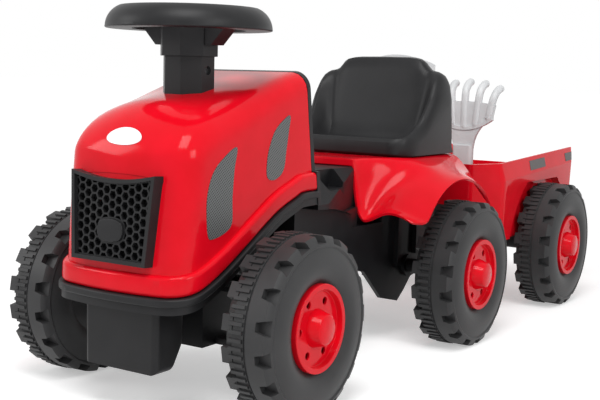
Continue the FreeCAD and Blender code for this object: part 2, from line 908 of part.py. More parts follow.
def belt_region(low, high):
    """Everything between two heights above the belt line, right across the hood."""
    lower = belt_edge(low)
    upper = belt_edge(high)
    first = Part.LineSegment(lower[0].firstVertex().Point, upper[0].firstVertex().Point).toShape()
    last = Part.LineSegment(lower[-1].lastVertex().Point, upper[-1].lastVertex().Point).toShape()
    face = Part.Face(Part.Wire(Part.__sortEdges__(lower + [last] + upper + [first])))
    face.translate(Vector(-200, 0, 0))
    return face.extrude(Vector(400, 0, 0))


def crown_block(drop):
    """Everything under the hood's side profile: leaning front, round nose, sloping crown."""
    lean = math.radians(v.hood_lean)
    slope = math.radians(v.hood_slope)
    ahead = 1.0
    low = 60.0
    top_z = v.hood_top_z - drop / math.cos(slope)
    front_y = -v.hood_front - ahead + drop / math.cos(lean)

    def front(z):
        return front_y + math.tan(lean) * (z - v.hood_sill_z)

    shift = front_y - math.tan(lean) * v.hood_sill_z
    corner_z = (top_z + math.tan(slope) * shift) / (1 - math.tan(slope) * math.tan(lean))
    corner = Vector(0, front(corner_z), corner_z)
    down = Vector(0, -math.sin(lean), -math.cos(lean))
    back = Vector(0, math.cos(slope), math.sin(slope))
    radius = v.nose_radius - drop
    turn = math.pi / 2 - lean - slope
    reach = radius * math.tan(turn / 2)
    first = corner + reach * down
    last = corner + reach * back
    inward = (down + back).normalize()
    middle = corner + inward * (radius / math.cos(turn / 2) - radius)
    rear = 260.0
    rear_top = Vector(0, rear, top_z + math.tan(slope) * rear)
    edges = [
        Part.LineSegment(Vector(0, front(low), low), first),
        Part.Arc(first, middle, last),
        Part.LineSegment(last, rear_top),
        Part.LineSegment(rear_top, Vector(0, rear, low)),
        Part.LineSegment(Vector(0, rear, low), Vector(0, front(low), low)),
    ]
    face = Part.Face(Part.Wire([edge.toShape() for edge in edges]))
    face.translate(Vector(-200, 0, 0))
    return face.extrude(Vector(400, 0, 0))


def behind_hood(shift):
    """The space behind the hood's leaning rear edge."""
    lean = math.radians(v.hood_rear_lean)
    box = Part.makeBox(500, 300, 600, Vector(-250, 0, -300))
    box.Placement = Placement(Vector(0, v.hood_rear + shift, v.hood_rear_z), Rotation(AXIS_X, math.degrees(lean)))
    return box


def hood_form(inset, reach_low):
    """The hood as a solid, its skin moved in by the inset."""
    rear = v.hood_rear + 60
    core = plan_block(-inset, rear).common(crown_block(inset))
    ridge = [edge for edge in core.Edges if is_ridge(edge)]
    core = core.makeFillet(v.hood_shoulder - inset, ridge)
    core = core.common(belt_region(v.belt_height / 2 + reach_low, 400))
    belt = plan_block(v.belt_outset - inset, rear)
    belt = belt.common(belt_region(reach_low, v.belt_height - inset))
    rims = [edge for edge in belt.Edges if is_belt_rim(edge)]
    belt = belt.makeFillet(v.belt_round, rims)
    return core.fuse(belt)


def is_ridge(edge):
    """An edge between the crown and the front, corners or sides of the hood."""
    box = edge.BoundBox
    return box.ZMin > v.hood_sill_z + 30 and box.YMin < v.hood_rear + 50 and box.XLength < 2 * v.hood_half_width - 1


def is_belt_rim(edge):
    """A long outer edge of the belt's band, top or bottom, ahead of its rear end."""
    box = edge.BoundBox
    upright = box.ZLength > v.belt_height * 0.5 and box.YLength < 12 and box.XLength < 12
    return not upright and box.YMin < v.hood_rear + 50 and box.XLength < 2 * v.hood_half_width


def grille_outline(grow):
    """Grille outline in its own plane, grown by a margin: the upper edge sags."""
    low, top = v.grille_low_half + grow, v.grille_top_half + grow
    tall = v.grille_height + grow
    corners = [Vector(-low, 0, -grow), Vector(low, 0, -grow), Vector(top, 0, tall), Vector(-top, 0, tall)]
    dip = Vector(0, 0, tall - v.grille_sag)
    edges = [
        Part.LineSegment(corners[0], corners[1]),
        Part.LineSegment(corners[1], corners[2]),
        Part.Arc(corners[2], dip, corners[3]),
        Part.LineSegment(corners[3], corners[0]),
    ]
    return Part.Wire([edge.toShape() for edge in edges])


def grille_spot():
    """The grille's plane: its lower edge stands proud of the hood and it leans with the front."""
    foot = slope_of(d.hood_lean) * (d.grille_low_z - d.hood_sill_z) - d.hood_front - d.grille_proud
    return 0, foot, d.grille_low_z, Rotation(AXIS_X, -v.hood_lean)


def grille_block(depth):
    block = Part.Face(grille_outline(0)).extrude(Vector(0, depth, 0))
    x, y, z, lean = grille_spot()
    block.Placement = Placement(Vector(float(x), float(y), float(z)), lean)
    return block


def make_hood():
    """Red shell: crowned hood with its belt, open below and behind, cut for column and grille."""
    outer = hood_form(0, 0)
    inner = hood_form(v.wall, -5)
    shell = outer.cut(inner).cut(behind_hood(0))
    well = Part.makeCylinder(v.column_across / 2 / math.cos(math.pi / 8) + 1, 200, Vector(0, 0, v.deck_top_z + 20))
    shell = shell.cut(well).cut(grille_block(v.grille_depth + 30))
    add_shape("hood", shell)


def make_bumper():
    """Dark lip under the belt: a wide upper step and a narrower lower one, open at the rear."""
    rear = v.hood_rear + 60
    middle = -v.bumper_height / 2
    upper = plan_block(v.bumper_outset, rear).common(belt_region(middle, 0))
    upper = upper.makeFillet(v.bumper_round, [edge for edge in upper.Edges if is_belt_rim(edge)])
    lower = plan_block(v.bumper_outset - v.bumper_step, rear)
    lower = lower.common(belt_region(-v.bumper_height, middle + 1))
    hollow = plan_block(v.bumper_outset - v.bumper_step - v.bumper_wall, rear)
    lip = upper.fuse(lower).cut(hollow).cut(behind_hood(0)).removeSplitter()
    add_shape("front_bumper", lip)


def make_dash():
    """Dark panel that closes the hood behind and frames its rear edge."""
    rear = v.hood_rear + 60
    form = plan_block(v.dash_outset, rear).common(crown_block(-v.dash_outset))
    form = form.makeFillet(v.hood_shoulder + v.dash_outset, [edge for edge in form.Edges if is_ridge(edge)])
    form = form.common(belt_region(v.belt_height, 400))
    skirt = plan_block(v.belt_outset + v.dash_outset, rear)
    skirt = skirt.common(belt_region(-v.bumper_height, v.belt_height + v.dash_outset))
    slab = form.fuse(skirt).common(behind_hood(0)).cut(behind_hood(v.dash_thickness)).removeSplitter()
    add_shape("dash_panel", slab)


def make_grille():
    """Frame with a blind honeycomb, and the blank badge on it."""
    plate_front = 3.0
    frame = Part.Face(grille_outline(0)).extrude(Vector(0, v.grille_depth, 0))
    window = Part.Face(grille_outline(-v.grille_frame)).extrude(Vector(0, plate_front, 0))
    column = v.cell_pitch * math.sqrt(3) / 2
    radius = (v.cell_pitch - v.cell_wall) / math.sqrt(3)
    badge = badge_outline(1.5).extrude(Vector(0, v.grille_depth, 0))
    room = Part.Face(grille_outline(-v.grille_frame - 1.0)).extrude(Vector(0, v.grille_depth, 0))
    cells = []
    columns = int(v.grille_top_half / column) + 1
    rows = int(v.grille_height / v.cell_pitch) + 2
    for i in range(-columns, columns + 1):
        for j in range(rows):
            lift = v.cell_pitch / 2 if i % 2 else 0.0
            middle = Vector(i * column, plate_front, j * v.cell_pitch + lift)
            corners = []
            for k in range(7):
                angle = math.radians(60 * k)
                corners.append(middle + radius * Vector(math.cos(angle), 0, math.sin(angle)))
            cells.append(Part.Face(Part.makePolygon(corners)).extrude(Vector(0, v.cell_depth, 0)))
    holes = Part.makeCompound(cells).common(room).cut(badge)
    add_shape("grille", frame.cut(window).cut(holes), *grille_spot())

    plate = badge_outline(0).extrude(Vector(0, v.badge_thickness, 0))
    plate.translate(Vector(0, plate_front - v.badge_thickness, 0))
    edges = [edge for edge in plate.Edges if edge.BoundBox.YMax < plate_front - v.badge_thickness + 0.01]
    add_shape("grille_badge", plate.makeFillet(1.0, edges), *grille_spot())


def badge_outline(grow):
    """The badge's plate with its bowed edges, in the grille's plane."""
    wide = v.badge_half_width + grow
    tall = v.badge_half_height + grow
    bow = v.badge_bow
    middle = Vector(0, 0, v.badge_height)
    corners = [middle + Vector(x * (wide - bow), 0, z * (tall - bow)) for x, z in ((-1, -1), (1, -1), (1, 1), (-1, 1))]
    peaks = [middle + Vector(x * wide, 0, z * tall) for x, z in ((0, -1), (1, 0), (0, 1), (-1, 0))]
    edges = [Part.Arc(corners[i], peaks[i], corners[(i + 1) % 4]).toShape() for i in range(4)]
    return Part.Face(Part.Wire(edges))


def make_front_weight():
    """Box shaped weight that hangs under the nose, slanted behind."""
    body = new_body("front_weight")
    front = -d.weight_front
    rear = front + d.weight_length
    top = d.deck_low_z - d.fit_gap
    post_top = d.deck_top_z - d.chassis_wall
    face = [
        (-d.weight_low_half, d.weight_low_z),
        (d.weight_low_half, d.weight_low_z),
        (d.weight_top_half, top),
        (-d.weight_top_half, top),
    ]
    pad(body, outline(body, "XZ_Plane", face, -rear), d.weight_length)
    bevel = [
        (rear + 1, d.weight_low_z - 1),
        (rear + 1, d.weight_low_z + 34),
        (rear, d.weight_low_z + 34),
        (rear - 20, d.weight_low_z),
        (rear - 20, d.weight_low_z - 1),
    ]
    pocket(body, outline(body, "YZ_Plane", bevel, -d.weight_top_half - 1), 2 * d.weight_top_half + 2)
    low = float(d.weight_low_z) + 1
    round_edges(body, 7, lambda edge: not parallel(edge, AXIS_X)
                and (edge.BoundBox.YLength < 3 or edge.BoundBox.ZMax < low))
    for x, y in SCREWS["weight"]:
        pad(body, disc(body, "XY_Plane", (x, y), d.weight_post_radius, top - 1), post_top - top + 1)
        hole = disc(body, "XY_Plane", (x, y), d.screw_radius, post_top - d.screw_length)
        pocket(body, hole, d.screw_length + 1)
    place(body)


def make_chassis():
    """Black hull: deck under the hood, seat box, keel, arches, front axle yokes and tow tongue."""
    body = new_body("chassis")
    wide = d.chassis_half_width
    rear = d.wheelbase + d.chassis_tail
    top = d.body_top_z
    step = d.hood_rear + d.dash_thickness + 3
    axle = d.wheelbase
    low_rear = d.tongue_low_z
    hull = [
        (-d.chassis_front, d.deck_low_z),
        (-d.chassis_front, d.deck_top_z),
        (d.hood_rear - 6, d.deck_top_z),
        (d.hood_rear - 6, d.belt_rear_z - d.bumper_height),
        (step, d.belt_rear_z - d.bumper_height),
        (step, top),
        (rear, top),
        (rear, low_rear),
        (axle + 12, low_rear - 10),
        (axle - 5, d.keel_low_z + 12),
        (axle - 22, d.keel_low_z),
        (axle - 64, d.keel_low_z + 10),
        (axle - 108, d.keel_low_z + 49),
        (step + 60, d.deck_low_z - 14),
        (step, d.deck_low_z),
    ]
    pad(body, outline(body, "YZ_Plane", hull, -wide), 2 * wide)
    wall = d.chassis_wall
    roof = d.flare_low_z - d.fit_gap
    room = [
        (-d.chassis_front + wall, d.deck_low_z - 1),
        (-d.chassis_front + wall, d.deck_top_z - wall),
        (step + 4, d.deck_top_z - wall),
        (step + wall, roof),
        (rear - wall, roof),
        (rear - wall, low_rear - 1),
        (axle + 12, low_rear - 11),
        (axle - 5, d.keel_low_z + 11),
        (axle - 22, d.keel_low_z - 1),
        (axle - 64, d.keel_low_z + 9),
        (axle - 109, d.keel_low_z + 48),
        (step + 60, d.deck_low_z - 15),
        (step, d.deck_low_z - 1),
    ]
    pocket(body, outline(body, "YZ_Plane", room, wall - wide), 2 * (wide - wall))
    flare_end = step + d.flare_length
    arch_end = step + d.arch_length
    recess_half = d.saddle_front_half - d.wall - d.fit_gap
    cheek = [
        (arch_end - d.cheek_lead, d.recess_low_z - wall),
        (flare_end + wall, d.recess_low_z - wall),
        (flare_end + wall, roof + 1),
        (arch_end - d.cheek_lead, roof + 1),
    ]
    for start in (recess_half - wall, 1 - wide):
        pad(body, outline(body, "YZ_Plane", cheek, start), wide - 1 - recess_half + wall)
    for start, half in ((step + wall, recess_half - wall), (flare_end + wall, wide - wall)):
        loft = [(start, roof - 1), (rear - wall, roof - 1), (rear - wall, top - wall), (start, top - wall)]
        pocket(body, outline(body, "YZ_Plane", loft, -half), 2 * half)
    rib = [
        (axle - wall / 2, low_rear - 10),
        (axle + wall / 2, low_rear - 10),
        (axle + wall / 2, top - 1),
        (axle - wall / 2, top - 1),
    ]
    pad(body, outline(body, "YZ_Plane", rib, 1 - wide), 2 * (wide - 1))
    arch = [
        (step, d.arch_low_z + 2, step + 55, d.arch_low_z - 3),
        (arch_end, d.arch_low_z - 23),
        (arch_end, d.arch_low_z - 10),
        (step + 50, d.arch_low_z + 27),
        (step, d.arch_low_z + 27),
    ]
    for start in (-d.arch_half_width, wide - wall):
        pad(body, outline(body, "YZ_Plane", arch, start), d.arch_half_width - wide + wall)
    for sign in (1, -1):
        flare = [
            (sign * d.flare_half, top + 1),
            (sign * d.flare_half, top),
            (sign * d.arch_half_width, d.flare_low_z),
            (sign * (d.arch_half_width + 1), d.flare_low_z),
            (sign * (d.arch_half_width + 1), top + 1),
        ]
        pocket(body, outline(body, "XZ_Plane", flare, -flare_end), d.flare_length)
    recess = [
        (arch_end, d.recess_low_z),
        (flare_end, d.recess_low_z),
        (flare_end, top + 1),
        (arch_end, top + 1),
    ]
    outer = d.arch_half_width + 1
    for start in (recess_half, -outer):
        pocket(body, outline(body, "YZ_Plane", recess, start), outer - recess_half)
    for sign in (1, -1):
        for lead, half, low in ((28, d.arch_end_half, d.recess_low_z), (18, d.ledge_end_half, d.ledge_z)):
            taper = [(sign * outer, step + lead), (sign * half, arch_end + 1), (sign * outer, arch_end + 1)]
            pocket(body, outline(body, "XY_Plane", taper, low), top + 1 - low)
    grip_start = step + d.grip_lead
    grip_end = grip_start + d.grip_length
    grip = [
        (grip_start, d.grip_low_z),
        (grip_end - 6, d.grip_low_z + 2),
        (grip_end, top + 1),
        (grip_start, top + 1),
    ]
    for start in (recess_half, -outer):
        pocket(body, outline(body, "YZ_Plane", grip, start), outer - recess_half)
    for y, low, high in ((axle - 31, d.keel_low_z + 47, d.fender_lip_z - 4), (axle + 17, axle_z + 14, d.fender_lip_z - 14)):
        post = [
            (y - d.rib_width / 2, low),
            (y + d.rib_width / 2, low),
            (y + d.rib_width / 2, high),
            (y - d.rib_width / 2, high),
        ]
        for start in (-wide - d.rib_outset, wide - 1):
            pad(body, outline(body, "YZ_Plane", post, start), d.rib_outset + 1)
    pad(body, disc(body, "YZ_Plane", (axle, axle_z), d.axle_boss_radius, -wide - 4), 2 * (wide + 4))
    pocket(body, disc(body, "YZ_Plane", (axle, axle_z), d.axle_radius, -wide - 5), 2 * (wide + 5))
    for z, thick in ((d.yoke_low_z, d.yoke_plate), (d.yoke_top_z - d.yoke_top_plate, d.yoke_top_plate)):
        yoke = [
            (-d.kingpin_x, -d.yoke_radius),
            (d.kingpin_x, -d.yoke_radius, d.kingpin_x + d.yoke_radius, 0),
            (d.kingpin_x, d.yoke_radius),
            (-d.kingpin_x, d.yoke_radius, -d.kingpin_x - d.yoke_radius, 0),
        ]
        pad(body, outline(body, "XY_Plane", yoke, z), thick)
    web_half = d.kingpin_x - 36
    web_front = -d.yoke_radius - 22
    web = [
        (web_front, d.yoke_low_z),
        (d.yoke_radius, d.yoke_low_z),
        (d.yoke_radius, d.yoke_top_z),
        (-d.crank_hub_radius - 4, d.yoke_top_z),
        (-d.crank_hub_radius - 4, d.deck_top_z - 1),
        (web_front, d.deck_top_z - 1),
    ]
    pad(body, outline(body, "YZ_Plane", web, -web_half), 2 * web_half)
    for side in (1, -1):
        hole = disc(body, "XY_Plane", (side * d.kingpin_x, 0), d.kingpin_radius, d.yoke_low_z - 1)
        pocket(body, hole, d.yoke_top_z - d.yoke_low_z + 2)
    pocket(body, disc(body, "XY_Plane", (0, 0), d.shaft_radius + d.run_gap, d.shaft_low_z - 1), d.deck_top_z)
    tongue = [
        (-d.tongue_half_width, rear - 1),
        (d.tongue_half_width, rear - 1),
        (d.tongue_half_width, hitch_y, 0, hitch_y + d.tongue_half_width),
        (-d.tongue_half_width, hitch_y),
    ]
    pad(body, outline(body, "XY_Plane", tongue, d.tongue_low_z), d.tongue_thickness)
    hole = disc(body, "XY_Plane", (0, hitch_y), d.hitch_pin_radius, d.tongue_low_z - 1)
    pocket(body, hole, d.tongue_thickness + 2)
    for piece, roof in (("weight", d.deck_top_z), ("seat", top)):
        for x, y in SCREWS[piece]:
            pocket(body, disc(body, "XY_Plane", (x, y), d.screw_radius, roof - wall - 1), wall + 2)
    place(body)


def fender_block(inset):
    """The fenders as a solid arch right across: round over the wheels, a flat lip in front."""
    centre = Vector(0, v.wheelbase - v.fender_centre_lead, v.fender_centre_z)
    radius = v.fender_radius - inset
    front = v.wheelbase - v.body_lead
    rear = v.wheelbase + v.body_tail
    low = v.fender_centre_z
    turn = math.radians(45)
    lip_start = centre + radius * Vector(0, -math.cos(turn), math.sin(turn))
    lip_end = Vector(0, front, v.fender_lip_z - inset)
    rear_top = Vector(0, rear, centre.z + math.sqrt(radius ** 2 - (rear - centre.y) ** 2))
    edges = [
        Part.LineSegment(Vector(0, front, low), lip_end),
        Part.LineSegment(lip_end, lip_start),
        Part.Arc(lip_start, centre + radius * AXIS_Z, rear_top),
        Part.LineSegment(rear_top, Vector(0, rear, low)),
        Part.LineSegment(Vector(0, rear, low), Vector(0, front, low)),
    ]
    face = Part.Face(Part.Wire([edge.toShape() for edge in edges]))
    half = v.fender_half_width
    face.translate(Vector(-half, 0, 0))
    return face.extrude(Vector(2 * half, 0, 0))


def saddle_column(inset, low, high):
    """The seat plate's plan as an upright block: narrow in front, wide behind."""
    front = v.wheelbase - v.body_lead + inset
    rear = v.wheelbase + v.body_tail - inset
    narrow = v.saddle_front_half - inset
    wide = v.saddle_rear_half - inset
    corners = [
        Vector(narrow, front, 0),
        Vector(narrow + 8, front + 30, 0),
        Vector(wide, front + 66, 0),
        Vector(wide, rear, 0),
    ]
    corners += [Vector(-c.x, c.y, 0) for c in reversed(corners)]
    radii = [6.0, 30.0, 40.0, 8.0, 8.0, 40.0, 30.0, 6.0]
    loop = rounded_loop(corners, radii, lambda y: low)
    return Part.Face(loop).extrude(Vector(0, 0, high - low))


def make_rear_body():
    """Red saddle: the seat plate on its skirt, which runs out into the two fenders."""
    floor = v.plate_z - v.plate_thickness
    low = v.fender_centre_z
    outer = fender_block(0).fuse(saddle_column(0, low, v.plate_z))
    box_half = v.chassis_half_width + v.fit_gap
    front = v.wheelbase - v.body_lead
    rear = v.wheelbase + v.body_tail
    recess_end = v.hood_rear + v.dash_thickness + 3 + v.flare_length - v.fit_gap
    neck = v.saddle_front_half - v.wall
    shelf = v.recess_low_z + v.fit_gap
    below = Part.makeBox(2 * box_half, rear - front, shelf - low, Vector(-box_half, front, low))
    ahead = Part.makeBox(2 * neck, recess_end - front, floor - low, Vector(-neck, front, low))
    behind = Part.makeBox(2 * box_half, rear - recess_end, floor - low, Vector(-box_half, recess_end, low))
    room = [below, ahead, behind]
    shape = outer.cut([saddle_column(v.wall, low, floor), fender_block(v.wall), *room])
    for x, y in SCREWS["seat"]:
        foot = Vector(float(x), float(y), floor - 1)
        shape = shape.cut(Part.makeCylinder(v.screw_radius, v.plate_thickness + 2, foot))
    add_shape("rear_body", shape.removeSplitter())


def make_seat():
    """Bucket seat with raised sides, stepped shoulders and a low front lip."""
    body = new_body("seat")
    front = d.wheelbase - d.seat_lead
    rear = d.wheelbase + d.seat_tail
    back = d.wheelbase + d.seat_back_lead
    low = d.plate_z
    side_view = [
        (front + 22, low),
        (front, low + 10),
        (front, d.seat_lip_z - 3, front + 1, d.seat_lip_z - 1),
        (front + 3, d.seat_lip_z),
        (front + 18, d.seat_lip_z + 2, front + 42, d.seat_lip_z + 24),
        (front + 62, d.seat_shoulder_z - 28, front + 70, d.seat_shoulder_z - 5),
        (back, d.seat_top_z),
        (back + 20, d.seat_top_z, back + 28, d.seat_shoulder_z - 26),
        (rear, low),
    ]
    half = d.seat_half_width
    pad(body, outline(body, "YZ_Plane", side_view, -half), 2 * half)
    room = [
        (front + 4, d.seat_top_z + 4),
        (front + 4, d.seat_lip_z - 1, front + 24, d.seat_pan_z + 1),
        (front + 44, d.seat_pan_z, front + 62, d.seat_pan_z + 5),
        (front + 69, d.seat_pan_z + 18),
        (back + 5, d.seat_top_z + 4),
    ]
    seat_room = half - d.seat_side
    pocket(body, outline(body, "YZ_Plane", room, -seat_room), 2 * seat_room)
    for sign in (1, -1):
        shoulder = [
            (sign * d.seat_top_half, d.seat_top_z + 1, sign * (d.seat_top_half + 8), d.seat_top_z - 6),
            (sign * (d.seat_top_half + 11), d.seat_shoulder_z + 2),
            (sign * (d.seat_top_half + 14), d.seat_shoulder_z, sign * (half - 12), d.seat_shoulder_z - 2),
            (sign * (half - 6), d.seat_shoulder_z - 9),
            (sign * half, d.seat_shoulder_z - 36),
            (sign * d.seat_low_half, low - 1),
            (sign * (half + 1), low - 1),
            (sign * (half + 1), d.seat_top_z + 1),
        ]
        pocket(body, outline(body, "XZ_Plane", shoulder, -rear - 1), rear - front + 2)
    for x, y in SCREWS["seat"]:
        pocket(body, disc(body, "XY_Plane", (x, y), d.screw_radius, low - 1), d.screw_length)
    place(body)


def rounded_loop(corners, radii, height):
    """Closed wire through flat corners with rounded bends; height gives z from y."""
    count = len(corners)
    pieces = []
    for i in range(count):
        before, here, after = corners[i - 1], corners[i], corners[(i + 1) % count]
        to_before = (before - here).normalize()
        to_after = (after - here).normalize()
        half_angle = to_before.getAngle(to_after) / 2
        reach = radii[i] / math.tan(half_angle)
        inward = (to_before + to_after).normalize()
        middle = here + inward * (radii[i] / math.sin(half_angle) - radii[i])
        bend = [here + reach * to_before, middle, here + reach * to_after]
        pieces.append([Vector(p.x, p.y, height(p.y)) for p in bend])
    edges = []
    for i in range(count):
        edges.append(Part.Arc(*pieces[i]).toShape())
        edges.append(Part.LineSegment(pieces[i][2], pieces[(i + 1) % count][0]).toShape())
    return Part.Wire(edges)


def tub_loop(half, front_half, front, knee, rear, inset, height):
    """One level of the tub: narrow front with slanted corners, straight sides, round rear."""
    axle = v.wheelbase + v.trailer_base
    corners = [
        Vector(front_half - 0.4 * inset, axle - front + inset, 0),
        Vector(half - inset, axle - knee + 0.6 * inset, 0),
        Vector(half - inset, axle + rear - inset, 0),
    ]
    corners += [Vector(-c.x, c.y, 0) for c in reversed(corners)]
    radii = [12.0, 14.0, 20.0 - inset, 20.0 - inset, 14.0, 12.0]
    return rounded_loop(corners, radii, height)


def tub_form(inset, floor_z):
    """Tub as a solid: sloping sides, a crease that rises to the rear and a flared rim band."""
    axle = v.wheelbase + v.trailer_base
    run = v.tub_knee_lead + v.tail_overhang

    def share(y):
        return (y - axle + v.tub_knee_lead) / run

    def crease(y):
        return v.tub_crease_z + v.tub_crease_rise * share(y)

    def rim(y):
        return v.tub_rim_z + v.tub_rim_rise * share(y) + (0.0 if inset == 0 else 2.0)

    tail = v.tail_overhang
    loops = [
        tub_loop(v.tub_low_half, v.tub_front_half - 8, v.tub_low_lead, v.tub_low_lead - 34, v.tub_low_tail,
                 inset, lambda y: floor_z),
        tub_loop(v.tub_crease_half, v.tub_front_half - 4, v.tub_front_lead - 5, v.tub_knee_lead - 3, tail - 9,
                 inset, crease),
        tub_loop(v.tub_rim_half, v.tub_front_half, v.tub_front_lead, v.tub_knee_lead, tail,
                 inset, rim),
    ]
    return Part.makeLoft(loops, True, True)


def wheel_arches(grow):
    """Drums round the trailer wheels, and the cut-away behind them, outside the tub's narrow part."""
    axle = v.wheelbase + v.trailer_base
    radius = v.arch_radius + grow
    inner = v.arch_inner_half - grow
    long = 80.0
    low = v.tub_low_z - 10
    room = []
    for side in (1, -1):
        start = inner if side > 0 else -inner - long
        drum = Part.makeCylinder(radius, long, Vector(start, axle, v.tyre_radius), AXIS_X)
        flat = Part.makeBox(long, 2 * radius, v.arch_top_z + grow - low, Vector(start, axle - radius, low))
        room.append(drum.common(flat))
        corner = Vector(start, axle, low)
        room.append(Part.makeBox(long, v.tail_overhang + 20, v.tail_panel_z + grow - low, corner))
    return room


def tail_corner(start, long, y, z, radius, way):
    """What rounding takes off an outer corner at the tail, above (way 1) or below (way -1)."""
    spare = 10.0
    foot = z - radius if way > 0 else z - spare
    block = Part.makeBox(long, radius + spare, radius + spare, Vector(start, y - radius, foot))
    return block.cut(Part.makeCylinder(radius, long, Vector(start, y - radius, z - way * radius), AXIS_X))


def tool_sockets():
    """Floor sleeves that hold the feet of the two tools."""
    axle = v.wheelbase + v.trailer_base
    outer, inner = [], []
    for x, lead in ((v.rake_x, v.rake_lead), (v.shovel_x, v.shovel_lead)):
        gap = v.fit_gap
        wide, deep = v.handle_width / 2 + gap, v.handle_depth / 2 + gap
        foot = Vector(x - wide, axle - lead - deep, v.tub_low_z + v.wall)
        inner.append(Part.makeBox(2 * wide, 2 * deep, 200, foot))
        wall = v.socket_wall
        foot = Vector(x - wide - wall, axle - lead - deep - wall, v.tub_low_z + v.wall - 1)
        outer.append(Part.makeBox(2 * (wide + wall), 2 * (deep + wall), v.socket_depth + 1, foot))
    return outer, inner


def make_tub():
    """Red open tub with wheel arches, a low tail wall and floor sleeves for the tools."""
    axle = v.wheelbase + v.trailer_base
    outer = tub_form(0, v.tub_low_z).cut(wheel_arches(0))
    room = tub_form(v.wall, v.tub_low_z + v.wall).cut(wheel_arches(v.wall))
    shell = outer.cut(room)
    half = v.tub_tail_half
    drop = v.tub_tail_drop
    top = v.tub_rim_z + v.tub_rim_rise
    rear = axle + v.tail_overhang
    gate = Part.Face(Part.makePolygon([
        Vector(-half, rear + 5, top + 5),
        Vector(half, rear + 5, top + 5),
        Vector(half - 0.6 * drop, rear + 5, top - drop),
        Vector(0.6 * drop - half, rear + 5, top - drop),
        Vector(-half, rear + 5, top + 5),
    ])).extrude(Vector(0, -45, 0))
    wide = v.tub_crease_half + 1
    reach = wide - v.arch_inner_half
    low_rear = axle + v.tub_low_tail
    corners = [tail_corner(-wide, 2 * wide, rear, top, v.tail_high_round, 1)]
    for start in (v.arch_inner_half, -wide):
        corners.append(tail_corner(start, reach, low_rear, v.tail_panel_z, v.tail_low_round, -1))
    shell = shell.cut([gate, *corners])
    sleeves, feet = tool_sockets()
    for sleeve, foot in zip(sleeves, feet):
        shell = shell.fuse(sleeve.cut(foot))
    for x, y in SCREWS["tub"]:
        foot = Vector(float(x), float(y), v.tub_low_z - 1)
        shell = shell.cut(Part.makeCylinder(v.screw_radius, v.wall + 2, foot))
    add_shape("trailer_tub", shell.removeSplitter())


def make_trailer_frame():
    """Drawbar with its eye, spine under the tub and the axle beam."""
    body = new_body("trailer_frame")
    low = d.tongue_low_z + d.tongue_thickness + d.fit_gap
    high = d.tub_low_z
    eye_thickness = d.tongue_thickness
    half = d.frame_half_width
    start = hitch_y + d.hitch_head_radius + 8
    spine = [
        (hitch_y, low),
        (trailer_axle + d.frame_tail, low),
        (trailer_axle + d.frame_tail, high),
        (start + 12, high),
        (start, low + eye_thickness),
        (hitch_y, low + eye_thickness),
    ]
    pad(body, outline(body, "YZ_Plane", spine, -half), 2 * half)
    pad(body, disc(body, "XY_Plane", (0, hitch_y), d.eye_radius, low), eye_thickness)
    beam = disc(body, "YZ_Plane", (trailer_axle, axle_z), d.axle_beam_radius, -d.axle_beam_half)
    pad(body, beam, 2 * d.axle_beam_half)
    saddle_half = d.arch_inner_half - 12
    block = [
        (trailer_axle - d.axle_beam_radius, axle_z),
        (trailer_axle + d.axle_beam_radius, axle_z),
        (trailer_axle + d.axle_beam_radius, high),
        (trailer_axle - d.axle_beam_radius, high),
    ]
    pad(body, outline(body, "YZ_Plane", block, -saddle_half), 2 * saddle_half)
    pocket(body, disc(body, "YZ_Plane", (trailer_axle, axle_z), d.axle_radius, -d.axle_beam_half - 1),
           2 * d.axle_beam_half + 2)
    pocket(body, disc(body, "XY_Plane", (0, hitch_y), d.hitch_pin_radius + d.run_gap, low - 1), eye_thickness + 2)
    for x, y in SCREWS["tub"]:
        pocket(body, disc(body, "XY_Plane", (x, y), d.screw_radius, low - 1), high - low + 2)
    place(body)

    body = new_body("hitch_pin")
    foot = d.tongue_low_z - d.fit_gap
    head = low + eye_thickness + d.fit_gap
    pad(body, disc(body, "XY_Plane", (0, hitch_y), d.hitch_pin_radius, foot), head - foot)
    pad(body, disc(body, "XY_Plane", (0, hitch_y), d.hitch_tail_radius, foot - d.hitch_tail), d.hitch_tail + 1)
    pad(body, disc(body, "XY_Plane", (0, hitch_y), d.hitch_head_radius, head), 6)
    place(body)

    inner = d.axle_beam_half
    outer = wheel_inner_x + 1 - d.fit_gap
    body = new_body("trailer_axle_spacer_left")
    section = [
        (inner, d.axle_radius),
        (inner, d.spacer_radius),
        (outer, d.spacer_radius),
        (outer, d.axle_radius),
    ]
    revolve(body, outline(body, "XZ_Plane", section), "X_Axis")
    place(body, 0, trailer_axle, axle_z)
    doc.recompute()
    copy_of(body, "trailer_axle_spacer_right", 0, trailer_axle, axle_z, Rotation(AXIS_Z, 180))


def handle_bar(x, y, foot, top, width, depth):
    """Flat tapering bar with rounded long edges."""
    bar = Part.makeBox(width, depth, top - foot, Vector(x - width / 2, y - depth / 2, foot))
    return bar.makeFillet(0.4 * depth, [edge for edge in bar.Edges if parallel(edge, AXIS_Z)])


def rake_rim(x, y, low, half, depth):
    """Raised rim that sags under the tines' feet, right across the rake's plate."""
    ends, dip, tall = 12.0, -3.0, 5.0

    def at(dx, z):
        return Vector(x + dx, y - depth / 2, low + z)

    edges = [
        Part.Arc(at(-half, ends), at(0, dip), at(half, ends)),
        Part.LineSegment(at(half, ends), at(half, ends - tall)),
        Part.Arc(at(half, ends - tall), at(0, dip - tall), at(-half, ends - tall)),
        Part.LineSegment(at(-half, ends - tall), at(-half, ends)),
    ]
    return Part.Face(Part.Wire([edge.toShape() for edge in edges])).extrude(Vector(0, depth, 0))


